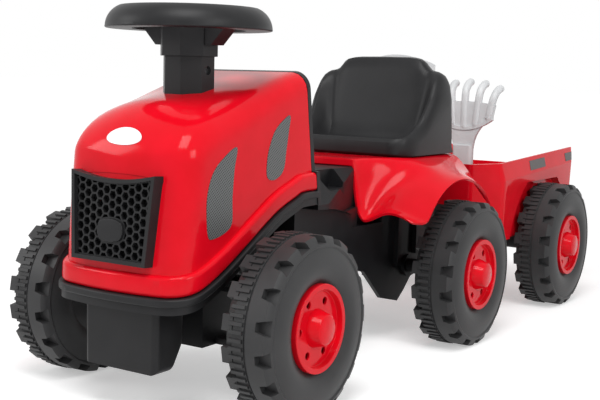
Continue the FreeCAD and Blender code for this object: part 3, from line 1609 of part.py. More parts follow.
def make_rake():
    """Toy rake that stands on its handle: flared neck, bowed plate and a fan of hooked tines."""
    axle = v.wheelbase + v.trailer_base
    x, y = v.rake_x, axle - v.rake_lead
    foot = v.tub_low_z + v.wall
    top = foot + v.rake_height
    radius = v.tine_radius
    bend_z = top - v.tine_reach - radius
    plate_low = bend_z - 40
    half = 2 * v.tine_pitch + 1.6 * radius
    neck_low = plate_low - 34
    bar = handle_bar(x, y, foot, neck_low + 4, v.handle_width, v.handle_depth)
    depth = 1.2 * radius

    def at(dx, z):
        return Vector(x + dx, y - depth / 2, z)

    left = [
        at(-v.handle_width / 2, neck_low),
        at(-v.handle_width / 2 - 5, neck_low + 20),
        at(-half, plate_low + 10),
        at(-half - 4, plate_low + 28),
    ]
    right = [Vector(2 * x - p.x, p.y, p.z) for p in left]
    edges = [
        Part.LineSegment(right[0], left[0]),
        Part.Arc(left[0], left[1], left[2]),
        Part.LineSegment(left[2], left[3]),
        Part.Arc(left[3], at(0, plate_low + 33), right[3]),
        Part.LineSegment(right[3], right[2]),
        Part.Arc(right[2], right[1], right[0]),
    ]
    fan = Part.Face(Part.Wire([edge.toShape() for edge in edges])).extrude(Vector(0, depth, 0))
    rim = rake_rim(x, y, plate_low, half, depth + v.wall)
    shape = bar.fuse([fan, rim])
    for i in range(-2, 3):
        foot_z = 5 * i * i - 2
        start = Vector(i * v.tine_pitch, 0, foot_z)
        reach = bend_z - plate_low - foot_z
        rod = Part.makeCylinder(radius, reach, start)
        bend = start + reach * AXIS_Z
        hinge = bend + v.tine_reach * AXIS_Y
        ring = Part.Face(Part.Wire(Part.makeCircle(radius, bend, AXIS_Z)))
        hook = ring.revolve(hinge, -AXIS_X, 80)
        tip = hinge + Rotation(AXIS_X, -80).multVec(bend - hinge)
        tine = rod.fuse([hook, Part.makeSphere(radius, start), Part.makeSphere(radius, tip)])
        tine.Placement = Placement(Vector(x, y, plate_low), Rotation(AXIS_Y, i * v.tine_fan), Vector())
        shape = shape.fuse(tine)
    add_shape("rake", shape.removeSplitter())


def make_shovel():
    """Toy shovel that stands on its handle: bowed blade with a ribbed socket."""
    axle = v.wheelbase + v.trailer_base
    x, y = v.shovel_x, axle - v.shovel_lead
    foot = v.tub_low_z + v.wall
    top = foot + v.shovel_height
    blade_low = top - v.shovel_blade
    bar = handle_bar(x, y, foot, blade_low + 30, v.handle_width, v.handle_depth)
    half, bow, skin = v.shovel_half_width, v.shovel_bow, v.wall
    front = y - v.handle_depth / 2

    def at(dx, dy):
        return Vector(x + dx, front + dy, blade_low)

    edges = [
        Part.Arc(at(-half, bow), at(0, 0), at(half, bow)),
        Part.LineSegment(at(half, bow), at(half - 1, bow + skin)),
        Part.Arc(at(half - 1, bow + skin), at(0, skin), at(1 - half, bow + skin)),
        Part.LineSegment(at(1 - half, bow + skin), at(-half, bow)),
    ]
    blade = Part.Face(Part.Wire([edge.toShape() for edge in edges])).extrude(Vector(0, 0, v.shovel_blade))
    neck = v.handle_width / 2

    def face_at(dx, z):
        return Vector(x + dx, front - 30, z)

    edges = [
        Part.Arc(face_at(-neck, blade_low), face_at(-half + 8, blade_low + 16), face_at(-half, blade_low + 44)),
        Part.LineSegment(face_at(-half, blade_low + 44), face_at(-half, top - 14)),
        Part.Arc(face_at(-half, top - 14), face_at(0, top), face_at(half, top - 14)),
        Part.LineSegment(face_at(half, top - 14), face_at(half, blade_low + 44)),
        Part.Arc(face_at(half, blade_low + 44), face_at(half - 8, blade_low + 16), face_at(neck, blade_low)),
        Part.LineSegment(face_at(neck, blade_low), face_at(-neck, blade_low)),
    ]
    trim = Part.Face(Part.Wire([edge.toShape() for edge in edges])).extrude(Vector(0, 90, 0))
    add_shape("shovel", bar.fuse(blade.common(trim)).removeSplitter())


def make_screws():
    """Headed screws, one group for each piece that they hold."""
    frame_low = v.tongue_low_z + v.tongue_thickness + v.fit_gap
    frame_reach = v.tub_low_z + v.wall - frame_low - v.fit_gap
    seats = {
        "seat": (v.body_top_z - v.chassis_wall, 1, v.screw_length - 2),
        "weight": (v.deck_top_z, -1, v.screw_length - 2),
        "tub": (frame_low, 1, frame_reach),
    }
    for piece, (z, way, length) in seats.items():
        group = []
        for x, y in SCREWS[piece]:
            foot = Vector(float(x), float(y), z)
            shank = Part.makeCylinder(v.screw_radius, length, foot, way * AXIS_Z)
            head = Part.makeCylinder(v.screw_head_radius, v.screw_head, foot, -way * AXIS_Z)
            group.append(shank.fuse(head).removeSplitter())
        add_shape(f"{piece}_screws", Part.makeCompound(group))


make_wheels()
make_axles()
make_knuckle("front_left_knuckle", 1)
make_knuckle("front_right_knuckle", -1)
make_kingpins()
make_steering_links()
make_column()
make_steering_wheel()
make_hood()
make_bumper()
make_dash()
make_grille()
make_front_weight()
make_chassis()
make_rear_body()
make_seat()
make_tub()
make_trailer_frame()
make_rake()
make_shovel()
make_screws()
doc.recompute()

for item in doc.Objects:
    if "Invalid" in item.State or "Error" in item.State:
        raise ValueError(f"{item.Label} failed: {item.State}")
for part in parts:
    if part.Shape.isNull() or not part.Shape.isValid():
        raise ValueError(f"{part.Label} has no valid shape")

os.makedirs("parts", exist_ok=True)
for part in parts:
    part.Shape.exportStep(f"parts/{part.Label}.step")
    print(f"{part.Label}: {len(part.Shape.Solids)} solid, {part.Shape.Volume / 1000:.1f} cm3")
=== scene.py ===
import json
import math

import bpy
from mathutils import Matrix, Vector


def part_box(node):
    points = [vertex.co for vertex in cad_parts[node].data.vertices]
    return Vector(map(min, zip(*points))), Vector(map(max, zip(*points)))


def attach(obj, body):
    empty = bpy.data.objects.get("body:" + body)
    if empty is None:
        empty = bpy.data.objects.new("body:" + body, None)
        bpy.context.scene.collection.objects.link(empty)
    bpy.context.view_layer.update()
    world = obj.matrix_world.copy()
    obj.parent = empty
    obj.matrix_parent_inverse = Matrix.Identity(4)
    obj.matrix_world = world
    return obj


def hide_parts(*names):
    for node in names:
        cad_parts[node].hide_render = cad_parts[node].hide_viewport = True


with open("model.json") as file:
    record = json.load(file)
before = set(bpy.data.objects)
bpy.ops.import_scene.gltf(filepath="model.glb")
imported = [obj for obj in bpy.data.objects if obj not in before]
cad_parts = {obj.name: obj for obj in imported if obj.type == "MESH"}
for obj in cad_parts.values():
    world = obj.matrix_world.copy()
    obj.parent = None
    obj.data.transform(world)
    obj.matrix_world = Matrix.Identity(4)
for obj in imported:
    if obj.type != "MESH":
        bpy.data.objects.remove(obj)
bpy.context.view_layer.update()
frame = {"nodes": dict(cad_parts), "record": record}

NODES = frame["nodes"]
MM = 0.001
# The front axle lies this far ahead of the frame's origin. Points in millimetres start at its middle.
AXLE = Vector((0, -0.3525, 0))
STATIONS = ["front_left", "front_right", "rear_left", "rear_right", "trailer_left", "trailer_right"]
SIDES = {"left": 1, "right": -1}

# Fall of the hood's shoulders from its middle line: the strength at the nose in 1/m, the places along the hood
# between which it fades out, and the heights between which it grows.
CROWN_BEND = 3.4
CROWN_Y = (-0.4125, -0.2575)
CROWN_Z = (0.20, 0.275)
# The CAD hood is lowered by this much more than its skin.
SINK_DEPTH = 0.002


# ---- Nodes of materials and modifiers ----

def calculate(tree, operation, first, second):
    """Output of a math node on two values, each a socket or a number."""
    node = tree.nodes.new("ShaderNodeMath")
    node.operation = operation
    for socket, value in zip(node.inputs, (first, second)):
        if isinstance(value, float):
            socket.default_value = value
        else:
            tree.links.new(value, socket)
    return node.outputs["Value"]


def map_range(tree, value, source, target, way="LINEAR"):
    """Carries a value from one range over to another."""
    node = tree.nodes.new("ShaderNodeMapRange")
    node.interpolation_type = way
    for name, limit in zip(("From Min", "From Max", "To Min", "To Max"), (*source, *target)):
        node.inputs[name].default_value = limit
    tree.links.new(value, node.inputs["Value"])
    return node.outputs["Result"]


def noise(tree, scale, detail=2.0):
    """Cloudy pattern that stays with the object."""
    coord = tree.nodes.new("ShaderNodeTexCoord")
    node = tree.nodes.new("ShaderNodeTexNoise")
    node.inputs["Scale"].default_value = scale
    node.inputs["Detail"].default_value = detail
    tree.links.new(coord.outputs["Object"], node.inputs["Vector"])
    return node.outputs["Fac"]


def colour_ramp(tree, factor, *stops):
    """Blends two colours, each given with its place on the scale."""
    node = tree.nodes.new("ShaderNodeValToRGB")
    for element, (place, colour) in zip(node.color_ramp.elements, stops):
        element.position = place
        element.color = (*colour, 1)
    tree.links.new(factor, node.inputs["Fac"])
    return node.outputs["Color"]


# ---- Materials ----

def new_material(name):
    mat = bpy.data.materials.new(name)
    mat.use_nodes = True
    tree = mat.node_tree
    return mat, tree, tree.nodes["Principled BSDF"]


def plastic(name, low, high, rough, scale=35.0, grain=0.0, shine=0.5):
    """Moulded plastic: a faint cloudy change of colour and gloss and, where asked, a fine grain."""
    grain_scale, grain_depth, gloss_spread = 900.0, 0.0005, 0.15
    mat, tree, shader = new_material(name)
    cloud = noise(tree, scale, detail=3.0)
    gloss = map_range(tree, cloud, (0.0, 1.0), ((1 - gloss_spread) * rough, (1 + gloss_spread) * rough))
    tree.links.new(colour_ramp(tree, cloud, (0.3, low), (0.7, high)), shader.inputs["Base Color"])
    tree.links.new(gloss, shader.inputs["Roughness"])
    shader.inputs["Specular IOR Level"].default_value = shine
    if grain:
        bump = tree.nodes.new("ShaderNodeBump")
        bump.inputs["Strength"].default_value = grain
        bump.inputs["Distance"].default_value = grain_depth
        tree.links.new(noise(tree, grain_scale), bump.inputs["Height"])
        tree.links.new(bump.outputs["Normal"], shader.inputs["Normal"])
    return mat


def zinc(name):
    """Zinc plated steel with a fine mottle."""
    mat, tree, shader = new_material(name)
    mottle = colour_ramp(tree, noise(tree, 400.0), (0.0, (0.45, 0.45, 0.47)), (1.0, (0.65, 0.65, 0.67)))
    tree.links.new(mottle, shader.inputs["Base Color"])
    shader.inputs["Metallic"].default_value = 1.0
    shader.inputs["Roughness"].default_value = 0.3
    return mat


def hatched(name):
    """Dark printed mesh: two crossing sets of light lines on black."""
    mat, tree, shader = new_material(name)
    coord = tree.nodes.new("ShaderNodeTexCoord")
    lines = []
    for angle in (62, -40):
        turn = tree.nodes.new("ShaderNodeMapping")
        turn.inputs["Rotation"].default_value = (math.radians(angle), 0, 0)
        wave = tree.nodes.new("ShaderNodeTexWave")
        wave.bands_direction = "Y"
        wave.inputs["Scale"].default_value = 135.0
        tree.links.new(coord.outputs["Object"], turn.inputs["Vector"])
        tree.links.new(turn.outputs["Vector"], wave.inputs["Vector"])
        lines.append(wave.outputs["Fac"])
    colour = colour_ramp(tree, calculate(tree, "MAXIMUM", *lines),
                         (0.55, (0.010, 0.011, 0.011)), (0.95, (0.15, 0.16, 0.16)))
    tree.links.new(colour, shader.inputs["Base Color"])
    shader.inputs["Roughness"].default_value = 0.45
    return mat


MATERIALS = {
    "red": plastic("red", (0.68, 0.003, 0.011), (0.74, 0.004, 0.015), 0.12, shine=0.13),
    "dark_grey": plastic("dark_grey", (0.012, 0.012, 0.013), (0.017, 0.017, 0.018), 0.42, grain=0.15, shine=0.2),
    "black": plastic("black", (0.005, 0.005, 0.006), (0.008, 0.008, 0.009), 0.45, grain=0.15, shine=0.2),
    "tyre_grey": plastic("tyre_grey", (0.026, 0.026, 0.027), (0.036, 0.036, 0.037), 0.48, grain=0.2, shine=0.28),
    "light_grey": plastic("light_grey", (0.60, 0.61, 0.62), (0.68, 0.69, 0.70), 0.35),
    "steel": zinc("steel"),
}
STICKER = plastic("sticker", (0.80, 0.84, 0.90), (0.90, 0.92, 0.95), 0.25, scale=18.0)
DECAL = plastic("decal", (0.050, 0.040, 0.040), (0.075, 0.060, 0.060), 0.4, scale=90.0)
MESH = hatched("vent_mesh")


# ---- Modifiers ----

def geometry_group(name):
    """An empty modifier group with its input and output nodes."""
    group = bpy.data.node_groups.new(name, "GeometryNodeTree")
    for way in ("INPUT", "OUTPUT"):
        group.interface.new_socket("Geometry", in_out=way, socket_type="NodeSocketGeometry")
    return group, group.nodes.new("NodeGroupInput"), group.nodes.new("NodeGroupOutput")


def smooth_group(limit):
    """Joins the split edges of a CAD mesh and shades it smooth up to an angle in degrees."""
    group, start, stop = geometry_group(f"weld_and_smooth_{limit}")
    add, link = group.nodes.new, group.links.new
    weld = add("GeometryNodeMergeByDistance")
    weld.inputs["Distance"].default_value = 0.01 * MM
    faces = add("GeometryNodeSetShadeSmooth")
    faces.domain = "FACE"
    edges = add("GeometryNodeSetShadeSmooth")
    edges.domain = "EDGE"
    edges.inputs["Shade Smooth"].default_value = False
    angle = add("GeometryNodeInputMeshEdgeAngle")
    sharp = add("FunctionNodeCompare")
    sharp.data_type = "FLOAT"
    sharp.operation = "GREATER_THAN"
    sharp.inputs["B"].default_value = math.radians(limit)
    link(start.outputs[0], weld.inputs["Geometry"])
    link(weld.outputs["Geometry"], faces.inputs["Geometry"])
    link(faces.outputs["Geometry"], edges.inputs["Geometry"])
    link(angle.outputs["Unsigned Angle"], sharp.inputs["A"])
    link(sharp.outputs["Result"], edges.inputs["Selection"])
    link(edges.outputs["Geometry"], stop.inputs[0])
    return group


def sink_group():
    """Lets the CAD hood fall away from the middle line as its skin does, and a little more."""
    group, start, stop = geometry_group("sink")
    add, link = group.nodes.new, group.links.new
    spot = add("ShaderNodeSeparateXYZ")
    link(add("GeometryNodeInputPosition").outputs["Position"], spot.inputs["Vector"])
    bend = map_range(group, spot.outputs["Y"], CROWN_Y, (CROWN_BEND, 0.0), "SMOOTHSTEP")
    growth = map_range(group, spot.outputs["Z"], CROWN_Z, (0.0, 1.0), "SMOOTHSTEP")
    square = calculate(group, "MULTIPLY", spot.outputs["X"], spot.outputs["X"])
    fall = calculate(group, "ADD", calculate(group, "MULTIPLY", square, bend), SINK_DEPTH)
    fall = calculate(group, "MULTIPLY", fall, growth)
    drop = add("ShaderNodeCombineXYZ")
    link(calculate(group, "MULTIPLY", fall, -1.0), drop.inputs["Z"])
    move = add("GeometryNodeSetPosition")
    link(start.outputs[0], move.inputs["Geometry"])
    link(drop.outputs["Vector"], move.inputs["Offset"])
    link(move.outputs["Geometry"], stop.inputs[0])
    return group


SMOOTH = smooth_group(32)
# Keeps the shallow crease along the tub's walls.
CREASED = smooth_group(12)


def soften(obj, width=0.8, segments=2, group=SMOOTH):
    """Welds and shades a piece and, where the width in millimetres isn't 0, rounds its sharp edges."""
    obj.modifiers.new("smooth", "NODES").node_group = group
    if width:
        bevel = obj.modifiers.new("edges", "BEVEL")
        bevel.width = width * MM
        bevel.segments = segments
        bevel.limit_method = "ANGLE"
        bevel.angle_limit = math.radians(38)
        bevel.use_clamp_overlap = True
        bevel.harden_normals = True


# ---- Helpers for the scene's own meshes ----

def to_frame(spot):
    """A point in millimetres from the front axle, in the frame's metres."""
    return Vector(spot) * MM + AXLE


def to_mm(point):
    return (point - AXLE) / MM


def mesh_piece(name, verts, faces, body, mat):
    """A mesh from points in millimetres, riding on a body."""
    mesh = bpy.data.meshes.new(name)
    mesh.from_pydata([to_frame(spot) for spot in verts], [], faces)
    mesh.update()
    obj = bpy.data.objects.new(name, mesh)
    bpy.context.scene.collection.objects.link(obj)
    obj.data.materials.append(mat)
    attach(obj, body)
    return obj


def cast(node, start, way):
    """Whether and where a ray meets a CAD node, in millimetres, and the normal there."""
    found, point, normal, _ = NODES[node].ray_cast(to_frame(start), Vector(way))
    return found, to_mm(point), normal


def grid_faces(rows, columns):
    """Faces between rows of points, all with the same number of columns."""
    corners = [row * columns + i for row in range(rows - 1) for i in range(columns - 1)]
    return [(a, a + 1, a + columns + 1, a + columns) for a in corners]


def flipped(faces):
    return [tuple(reversed(face)) for face in faces]


def smooth_step(value, start, stop):
    share = min(max((value - start) / (stop - start), 0.0), 1.0)
    return share * share * (3 - 2 * share)


def blend(first, second, share):
    return first + (second - first) * share


def between(x, table):
    """Height at x on a chain of points, with straight stretches."""
    for (x0, z0), (x1, z1) in zip(table, table[1:]):
        if x <= x1:
            return blend(z0, z1, (x - x0) / (x1 - x0))
    return table[-1][1]


def corner_shift(x, start, radius):
    """How far a round corner, which begins at start, has bent back at x."""
    over = min(max(x - start, 0.0), radius)
    return radius - math.sqrt(radius ** 2 - over ** 2)


def rounded(points, steps=6):
    """Closed smooth curve through the points."""
    out = []
    count = len(points)
    for i in range(count):
        p0, p1, p2, p3 = (Vector(points[(i + k - 1) % count]) for k in range(4))
        for j in range(steps):
            t = j / steps
            out.append(0.5 * (2 * p1 + (p2 - p0) * t + (2 * p0 - 5 * p1 + 4 * p2 - p3) * t * t
                              + (3 * p1 - p0 - 3 * p2 + p3) * t ** 3))
    return out


def crowned(spot):
    """A point on the hood, in millimetres, after the shoulders have fallen away from the middle line."""
    place = to_frame(spot)
    bend = CROWN_BEND * (1 - smooth_step(place.y, *CROWN_Y))
    place.z -= bend * place.x ** 2 * smooth_step(place.z, *CROWN_Z)
    return tuple(to_mm(place))


# ---- Pieces ----

def dress_nodes():
    """Gives every CAD node the material of its slot and soft edges."""
    edge, tyre_edge = 0.8, 1.4
    slots = {part["node"]: part["material_slot"] for part in frame["record"]["subparts"]}
    for node, obj in NODES.items():
        obj.data.materials.clear()
        obj.data.materials.append(MATERIALS[slots[node]])
        width = tyre_edge if node.endswith("_tyre") else edge
        soften(obj, width, group=CREASED if node == "trailer_tub" else SMOOTH)


def hood_skin():
    """The hood's outer skin above the belt, cast from the CAD hood, with falling shoulders.

    Columns of points stand along the side and then fan round the nose. Each climbs from the belt to the knee and
    goes on over the top to the middle line. The left half is mirrored.
    """
    fan_y, rear_y, rear_lean = -58.0, 112.2, math.radians(8.0)
    foot, knee, lift = 204.0, 230.0, 0.4
    along, around, upward, over = 40, 24, 14, 28
    belt_low, belt_rise, belt_ends, belt_gap, tuck = 140.7, 84.3, (-112.0, 105.0), 1.0, 5.0
    # The roof is a plane and the nose a bowed face, where the column's and the grille's openings are closed.
    roof_z, roof_slope, roof_half, roof_front = 308.0, math.tan(math.radians(11.5)), 58.0, -42.0
    nose_y, nose_z, nose_lean = -107.0, 150.0, math.tan(math.radians(4.1))
    nose_bow, bow_half, nose_half, nose_top = 5.2, 57.0, 55.0, 236.0
    grille_half, grille_low, grille_top, grille_depth = 43.0, 153.0, 224.0, 12.0
    outside, agree = 300.0, 2.5
    # A ray that slips through a seam of the mesh is cast again a little aside.
    nudges = (0.0, 0.05, -0.08, 0.13)

    def on_roof(start, way):
        reach = (roof_z + roof_slope * start.y - start.z) / (way.z - roof_slope * way.y)
        return start + reach * way

    def on_nose(start, way):
        spot = start
        for _ in range(6):
            face_y = nose_lean * (spot.z - nose_z) + nose_y + nose_bow * (spot.x / bow_half) ** 2
            spot = start + way * ((face_y - start.y) / way.y)
        return spot

    def over_opening(start, way):
        """The point that closes an opening of roof or nose, and None elsewhere."""
        if way.z > 0.5:
            spot = on_roof(start, way)
            if abs(spot.x) < roof_half and spot.y > roof_front:
                return spot + Vector((0, 0, lift))
        elif way.y < -0.3 and way.z < 0.3:
            spot = on_nose(start, way)
            if abs(spot.x) < nose_half and spot.z < nose_top:
                behind_grille = abs(spot.x) < grille_half and grille_low < spot.z < grille_top
                return spot + Vector((0, grille_depth if behind_grille else -lift, 0))
        return None

    def hit(start, way):
        """Where the skin lies on a ray that leaves the hood."""
        for nudge in nudges:
            found, spot, normal = cast("hood", start + outside * way + Vector((nudge, nudge, nudge)), -way)
            if found:
                break
        met = spot + lift * normal
        closed = over_opening(start, way)
        return met if closed is None or (met - closed).length < agree else closed

    def column(y, turn, tilt):
        out = Vector((math.cos(turn), -math.sin(turn), 0))
        up = Vector((0, -math.sin(tilt), math.cos(tilt)))

        def axis(z):
            return Vector((0, y, foot)) + up * ((z - foot) / math.cos(tilt))

        low = belt_low + belt_rise * smooth_step(hit(axis(knee), out).y, *belt_ends) + belt_gap
        points = [hit(axis(blend(low, knee, i / upward)), out) for i in range(upward)]
        points.insert(0, points[0] - Vector((0, 0, tuck)))
        for i in range(over + 1):
            rise = math.pi / 2 * i / over
            points.append(hit(axis(knee), out * math.cos(rise) + up * math.sin(rise)))
        points[-1].x = 0
        return [crowned(spot) for spot in points]

    columns = []
    for j in range(along + 1):
        share = 1 - j / along
        columns.append(column(blend(fan_y, rear_y, share), 0, rear_lean * share))
    columns += [column(fan_y, math.pi / 2 * j / around, 0) for j in range(1, around + 1)]
    half = [spot for points in columns for spot in points]
    verts = half + [(-x, y, z) for x, y, z in half]
    faces = grid_faces(len(columns), len(columns[0]))
    faces += [tuple(len(half) + k for k in face) for face in flipped(faces)]
    obj = mesh_piece("hood_skin", verts, faces, "chassis", MATERIALS["red"])
    soften(obj, 0)


def vents():
    """Printed mesh panels on both sides of the hood."""
    inner, outer = 77.6, 79.0
    fins = {
        "front": [(-22.8, 255.4), (-26.1, 234.2), (-28.5, 207.5), (-28.6, 184.0), (-38.0, 175.5), (-55.0, 171.2),
                  (-64.5, 173.5), (-67.4, 195.3), (-66.3, 213.7), (-59.1, 231.6), (-45.7, 244.2)],
        "rear": [(66.7, 283.7), (64.4, 267.8), (60.5, 247.7), (57.5, 231.5), (50.0, 223.2), (37.5, 219.8),
                 (28.0, 224.0), (27.6, 239.3), (31.1, 252.3), (40.0, 268.5), (54.1, 279.2)],
    }
    for place, fin in fins.items():
        edge = rounded(fin)
        count = len(edge)
        for side, sign in SIDES.items():
            verts = [(sign * depth, y, z) for depth in (inner, outer) for y, z in edge]
            faces = [tuple(range(count, 2 * count))]
            faces += [(i, (i + 1) % count, count + (i + 1) % count, count + i) for i in range(count)]
            mesh_piece(f"vent_{place}_{side}", verts, faces if sign > 0 else flipped(faces), "chassis", MESH)


def sticker():
    """Blank oval sticker that follows the nose of the hood."""
    half_wide, half_high, height, lift = 21.5, 8.0, 264.0, 0.9
    before_nose = -200.0
    rings, spokes = 6, 48
    verts, faces = [], []
    for ring in range(rings + 1):
        for i in range(spokes):
            angle = 2 * math.pi * i / spokes
            x = half_wide * ring / rings * math.cos(angle)
            z = height + half_high * ring / rings * math.sin(angle)
            _, spot, normal = cast("hood", (x, before_nose, z), (0, 1, 0))
            verts.append(crowned(spot + lift * normal))
    for ring in range(rings):
        near, far = ring * spokes, (ring + 1) * spokes
        for i in range(spokes):
            j = (i + 1) % spokes
            faces.append((near + i, far + i, far + j, near + j))
    obj = mesh_piece("nose_sticker", verts, faces, "chassis", STICKER)
    soften(obj, 0)


def tub_decals():
    """Blank dark decals on the rim band of the tub, on both sides."""
    # Near and far end, lower and upper edge.
    patches = {"front": (629, 688, 198.5, 212.0), "rear": (772, 814, 204.0, 216.0)}
    across, upward, lean, lift = 14, 5, 0.048, 0.35
    beside_tub = 200.0
    for place, (near, far, low_z, high_z) in patches.items():
        for side, sign in SIDES.items():
            verts = []
            for i in range(across + 1):
                y = near + (far - near) * i / across
                rise = lean * (y - (near + far) / 2)
                for j in range(upward + 1):
                    z = low_z + (high_z - low_z) * j / upward + rise
                    _, spot, normal = cast("trailer_tub", (sign * beside_tub, y, z), (-sign, 0, 0))
                    verts.append(tuple(spot + lift * normal))
            faces = grid_faces(across + 1, upward + 1)
            obj = mesh_piece(f"tub_decal_{place}_{side}", verts, flipped(faces) if sign > 0 else faces, "trailer",
                             DECAL)
            soften(obj, 0)


def tyre_ribs():
    """Fine cross ribs on the inner half of every tread."""
    count, ends = 72, (-17.0, -2.5)
    # Radius, and half the rib's width as an angle.
    base, top = (86.4, 0.025), (88.9, 0.018)
    corners = [(4, 5, 7, 6), (0, 4, 6, 2), (5, 1, 3, 7), (0, 1, 5, 4), (6, 7, 3, 2)]
    for station in STATIONS:
        low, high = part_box(f"{station}_tyre")
        centre = to_mm((low + high) / 2)
        verts, faces = [], []
        for i in range(count):
            start = len(verts)
            for radius, half in (base, top):
                for x in ends:
                    for turn in (-half, half):
                        angle = 2 * math.pi * i / count + turn
                        verts.append((centre.x + x, centre.y + radius * math.sin(angle),
                                      centre.z + radius * math.cos(angle)))
            faces += [tuple(start + k for k in face) for face in corners]
        mesh_piece(f"{station}_tread_ribs", verts, faces, f"{station}_wheel", MATERIALS["tyre_grey"])


def rear_skin():
    """The rear body's flowing skin: plate, apron and fenders in one surface, and the plate's front edge."""
    front, rear, plate, wall = 251.0, 446.5, 228.6, 3.0
    # The apron turns into the fender over this length; the front corners are round in plan.
    flow_length, corner, corner_start, corner_width = 80.0, 14.0, 110.0, 30.0
    arch_y, arch_z, arch_radius, arch_front, lip_slope = 355.0, 85.0, 121.0, 262.0, 0.30
    # Pairs of distance from the middle and share of the fall from the plate to the arch.
    apron = [(0, 0), (20, 0), (40, 0), (44, 0.02), (46, 0.08), (47, 0.20), (48.5, 0.40), (50.6, 0.65), (55, 0.92),
             (61, 1.03), (65, 1.03), (75, 0.97), (86, 0.88), (97, 0.85), (110, 0.88), (123, 0.93), (134, 0.98),
             (141, 1.0)]
    fender = [(0, 0), (40, 0), (74, 0), (78, 0.01), (82, 0.03), (86, 0.06), (90, 0.10), (94, 0.16), (98, 0.23),
              (103, 0.32), (108, 0.42), (113, 0.52), (118, 0.62), (123, 0.71), (128, 0.80), (133, 0.89), (137, 0.97),
              (139.5, 1.06)]
    # Rows stand closer together towards the front.
    rows, crowding = 40, 1.15

    def arch(y):
        round_arch = arch_z + math.sqrt(arch_radius ** 2 - (max(y, arch_front) - arch_y) ** 2)
        return round_arch - lip_slope * max(arch_front - y, 0)

    def section(y):
        share = smooth_step(y, front, front + flow_length)
        trim = corner_shift(front + corner - y, 0, corner)
        points = []
        for (x0, fall0), (x1, fall1) in zip(apron, fender):
            x = blend(x0, x1, share)
            x -= trim * max(x - corner_start, 0) / corner_width
            points.append((x, y, plate - (plate - arch(y)) * blend(fall0, fall1, share)))
        return [(-x, y, z) for x, y, z in reversed(points[1:])] + points

    sections = [section(blend(front, rear, (j / rows) ** crowding)) for j in range(rows + 1)]
    verts = [spot for points in sections for spot in points]
    faces = grid_faces(len(sections), len(sections[0]))
    obj = mesh_piece("rear_body_skin", verts, faces, "chassis", MATERIALS["red"])
    flow = obj.modifiers.new("flow", "SUBSURF")
    flow.levels = flow.render_levels = 2
    thick = obj.modifiers.new("wall", "SOLIDIFY")
    thick.thickness = wall * MM
    thick.offset = -1.0
    soften(obj)
    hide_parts("rear_body")

    wide, low, top, near, far = 45.5, 219.3, plate - 0.6, front - 0.2, front + 4
    verts = [(x, y, z) for x in (-wide, wide) for y in (near, far) for z in (low, top)]
    faces = [(0, 1, 3, 2), (4, 6, 7, 5), (0, 4, 5, 1), (2, 3, 7, 6), (0, 2, 6, 4), (1, 5, 7, 3)]
    strip = mesh_piece("plate_edge", verts, faces, "chassis", MATERIALS["red"])
    soften(strip, 1.5, 3)


def bucket_seat():
    """Soft bucket: front lip, dished pan, back with stepped shoulders and raised sides."""
    # Outlines from the side, as pairs of Y and Z, on the middle line and at the raised sides.
    middle = [(326, 229.5), (309, 229.5), (306.3, 232), (305.5, 240), (306.5, 246.5), (310, 250.5), (318, 250.8),
              (332, 247), (346, 245), (358, 246), (366, 250), (372, 258), (376, 270), (381, 292), (386, 315),
              (390, 335), (393, 346), (397, 351), (403, 352), (409, 350), (413, 344), (418, 325), (425, 295),
              (433, 262), (440, 240), (441, 229.5)]
    flank = [(326, 229.5), (309, 229.5), (306.3, 232), (305.5, 240), (306.5, 246.5), (310, 251.5), (318, 254),
             (330, 259), (340, 266), (349, 276), (356, 287), (362, 298), (367, 309), (372, 320), (378, 332),
             (384, 342), (390, 348.5), (396, 351.5), (402, 352), (408, 350), (413, 344), (418, 325), (425, 295),
             (433, 262), (440, 240), (441, 229.5)]
    # Top edge of the back from behind, as pairs of X and Z.
    crest = [(0, 352), (40, 351.6), (52, 350), (58, 346), (63, 340), (67, 336), (72, 334.5), (80, 333), (86, 329),
             (90, 323), (92.5, 312), (94, 298)]
    half = [0, 12, 24, 36, 46, 53, 58, 62, 66, 70, 74, 78, 82, 85, 87.5, 89.5, 91.2, 92.5, 93.4, 93.9]
    base, pan, top = 229.5, 256, 352
    flank_start, flank_full = 66, 84
    # The front corners are round in plan, out to where the back begins.
    plan_start, plan_radius, plan_end, plan_fade = 64, 30, 360, 50
    side_start, side_radius, side_fade = 84, 10, 10
    # Below this height the bucket narrows towards its base.
    waist, narrowing, narrow_depth = 298, 0.105, 69

    def outline(x):
        """The seat's outline at a distance from the middle."""
        share = smooth_step(x, flank_start, flank_full)
        points = []
        for (y0, z0), (y1, z1) in zip(middle, flank):
            y, z = blend(y0, y1, share), blend(z0, z1, share)
            if z > pan:
                z = pan + (z - pan) * (between(x, crest) - pan) / (top - pan)
            y += corner_shift(x, plan_start, plan_radius) * min(max((plan_end - y) / plan_fade, 0), 1)
            points.append((y, z))
        return points

    columns = [-x for x in reversed(half[1:])] + half
    count = len(middle)
    verts = []
    for x in columns:
        curve = outline(abs(x))
        inset = corner_shift(abs(x), side_start, side_radius)
        for j, (y, z) in enumerate(curve):
            (y0, z0), (y1, z1) = curve[j - 1], curve[(j + 1) % count]
            run = math.hypot(y1 - y0, z1 - z0)
            shift = inset * min((z - base) / side_fade, 1)
            y, z = y + shift * (z1 - z0) / run, z - shift * (y1 - y0) / run
            narrow = 1 - narrowing * max(waist - z, 0) / narrow_depth
            verts.append((x * narrow, y, z))
    faces = [tuple(reversed(range(count)))]
    for i in range(len(columns) - 1):
        for j in range(count):
            a, b = i * count + j, i * count + (j + 1) % count
            faces.append((a, b, b + count, a + count))
    last = (len(columns) - 1) * count
    faces.append(tuple(range(last, last + count)))
    obj = mesh_piece("seat_shell", verts, faces, "chassis", MATERIALS["dark_grey"])
    soften(obj)
    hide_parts("seat")


# ---- Camera, floor and light ----

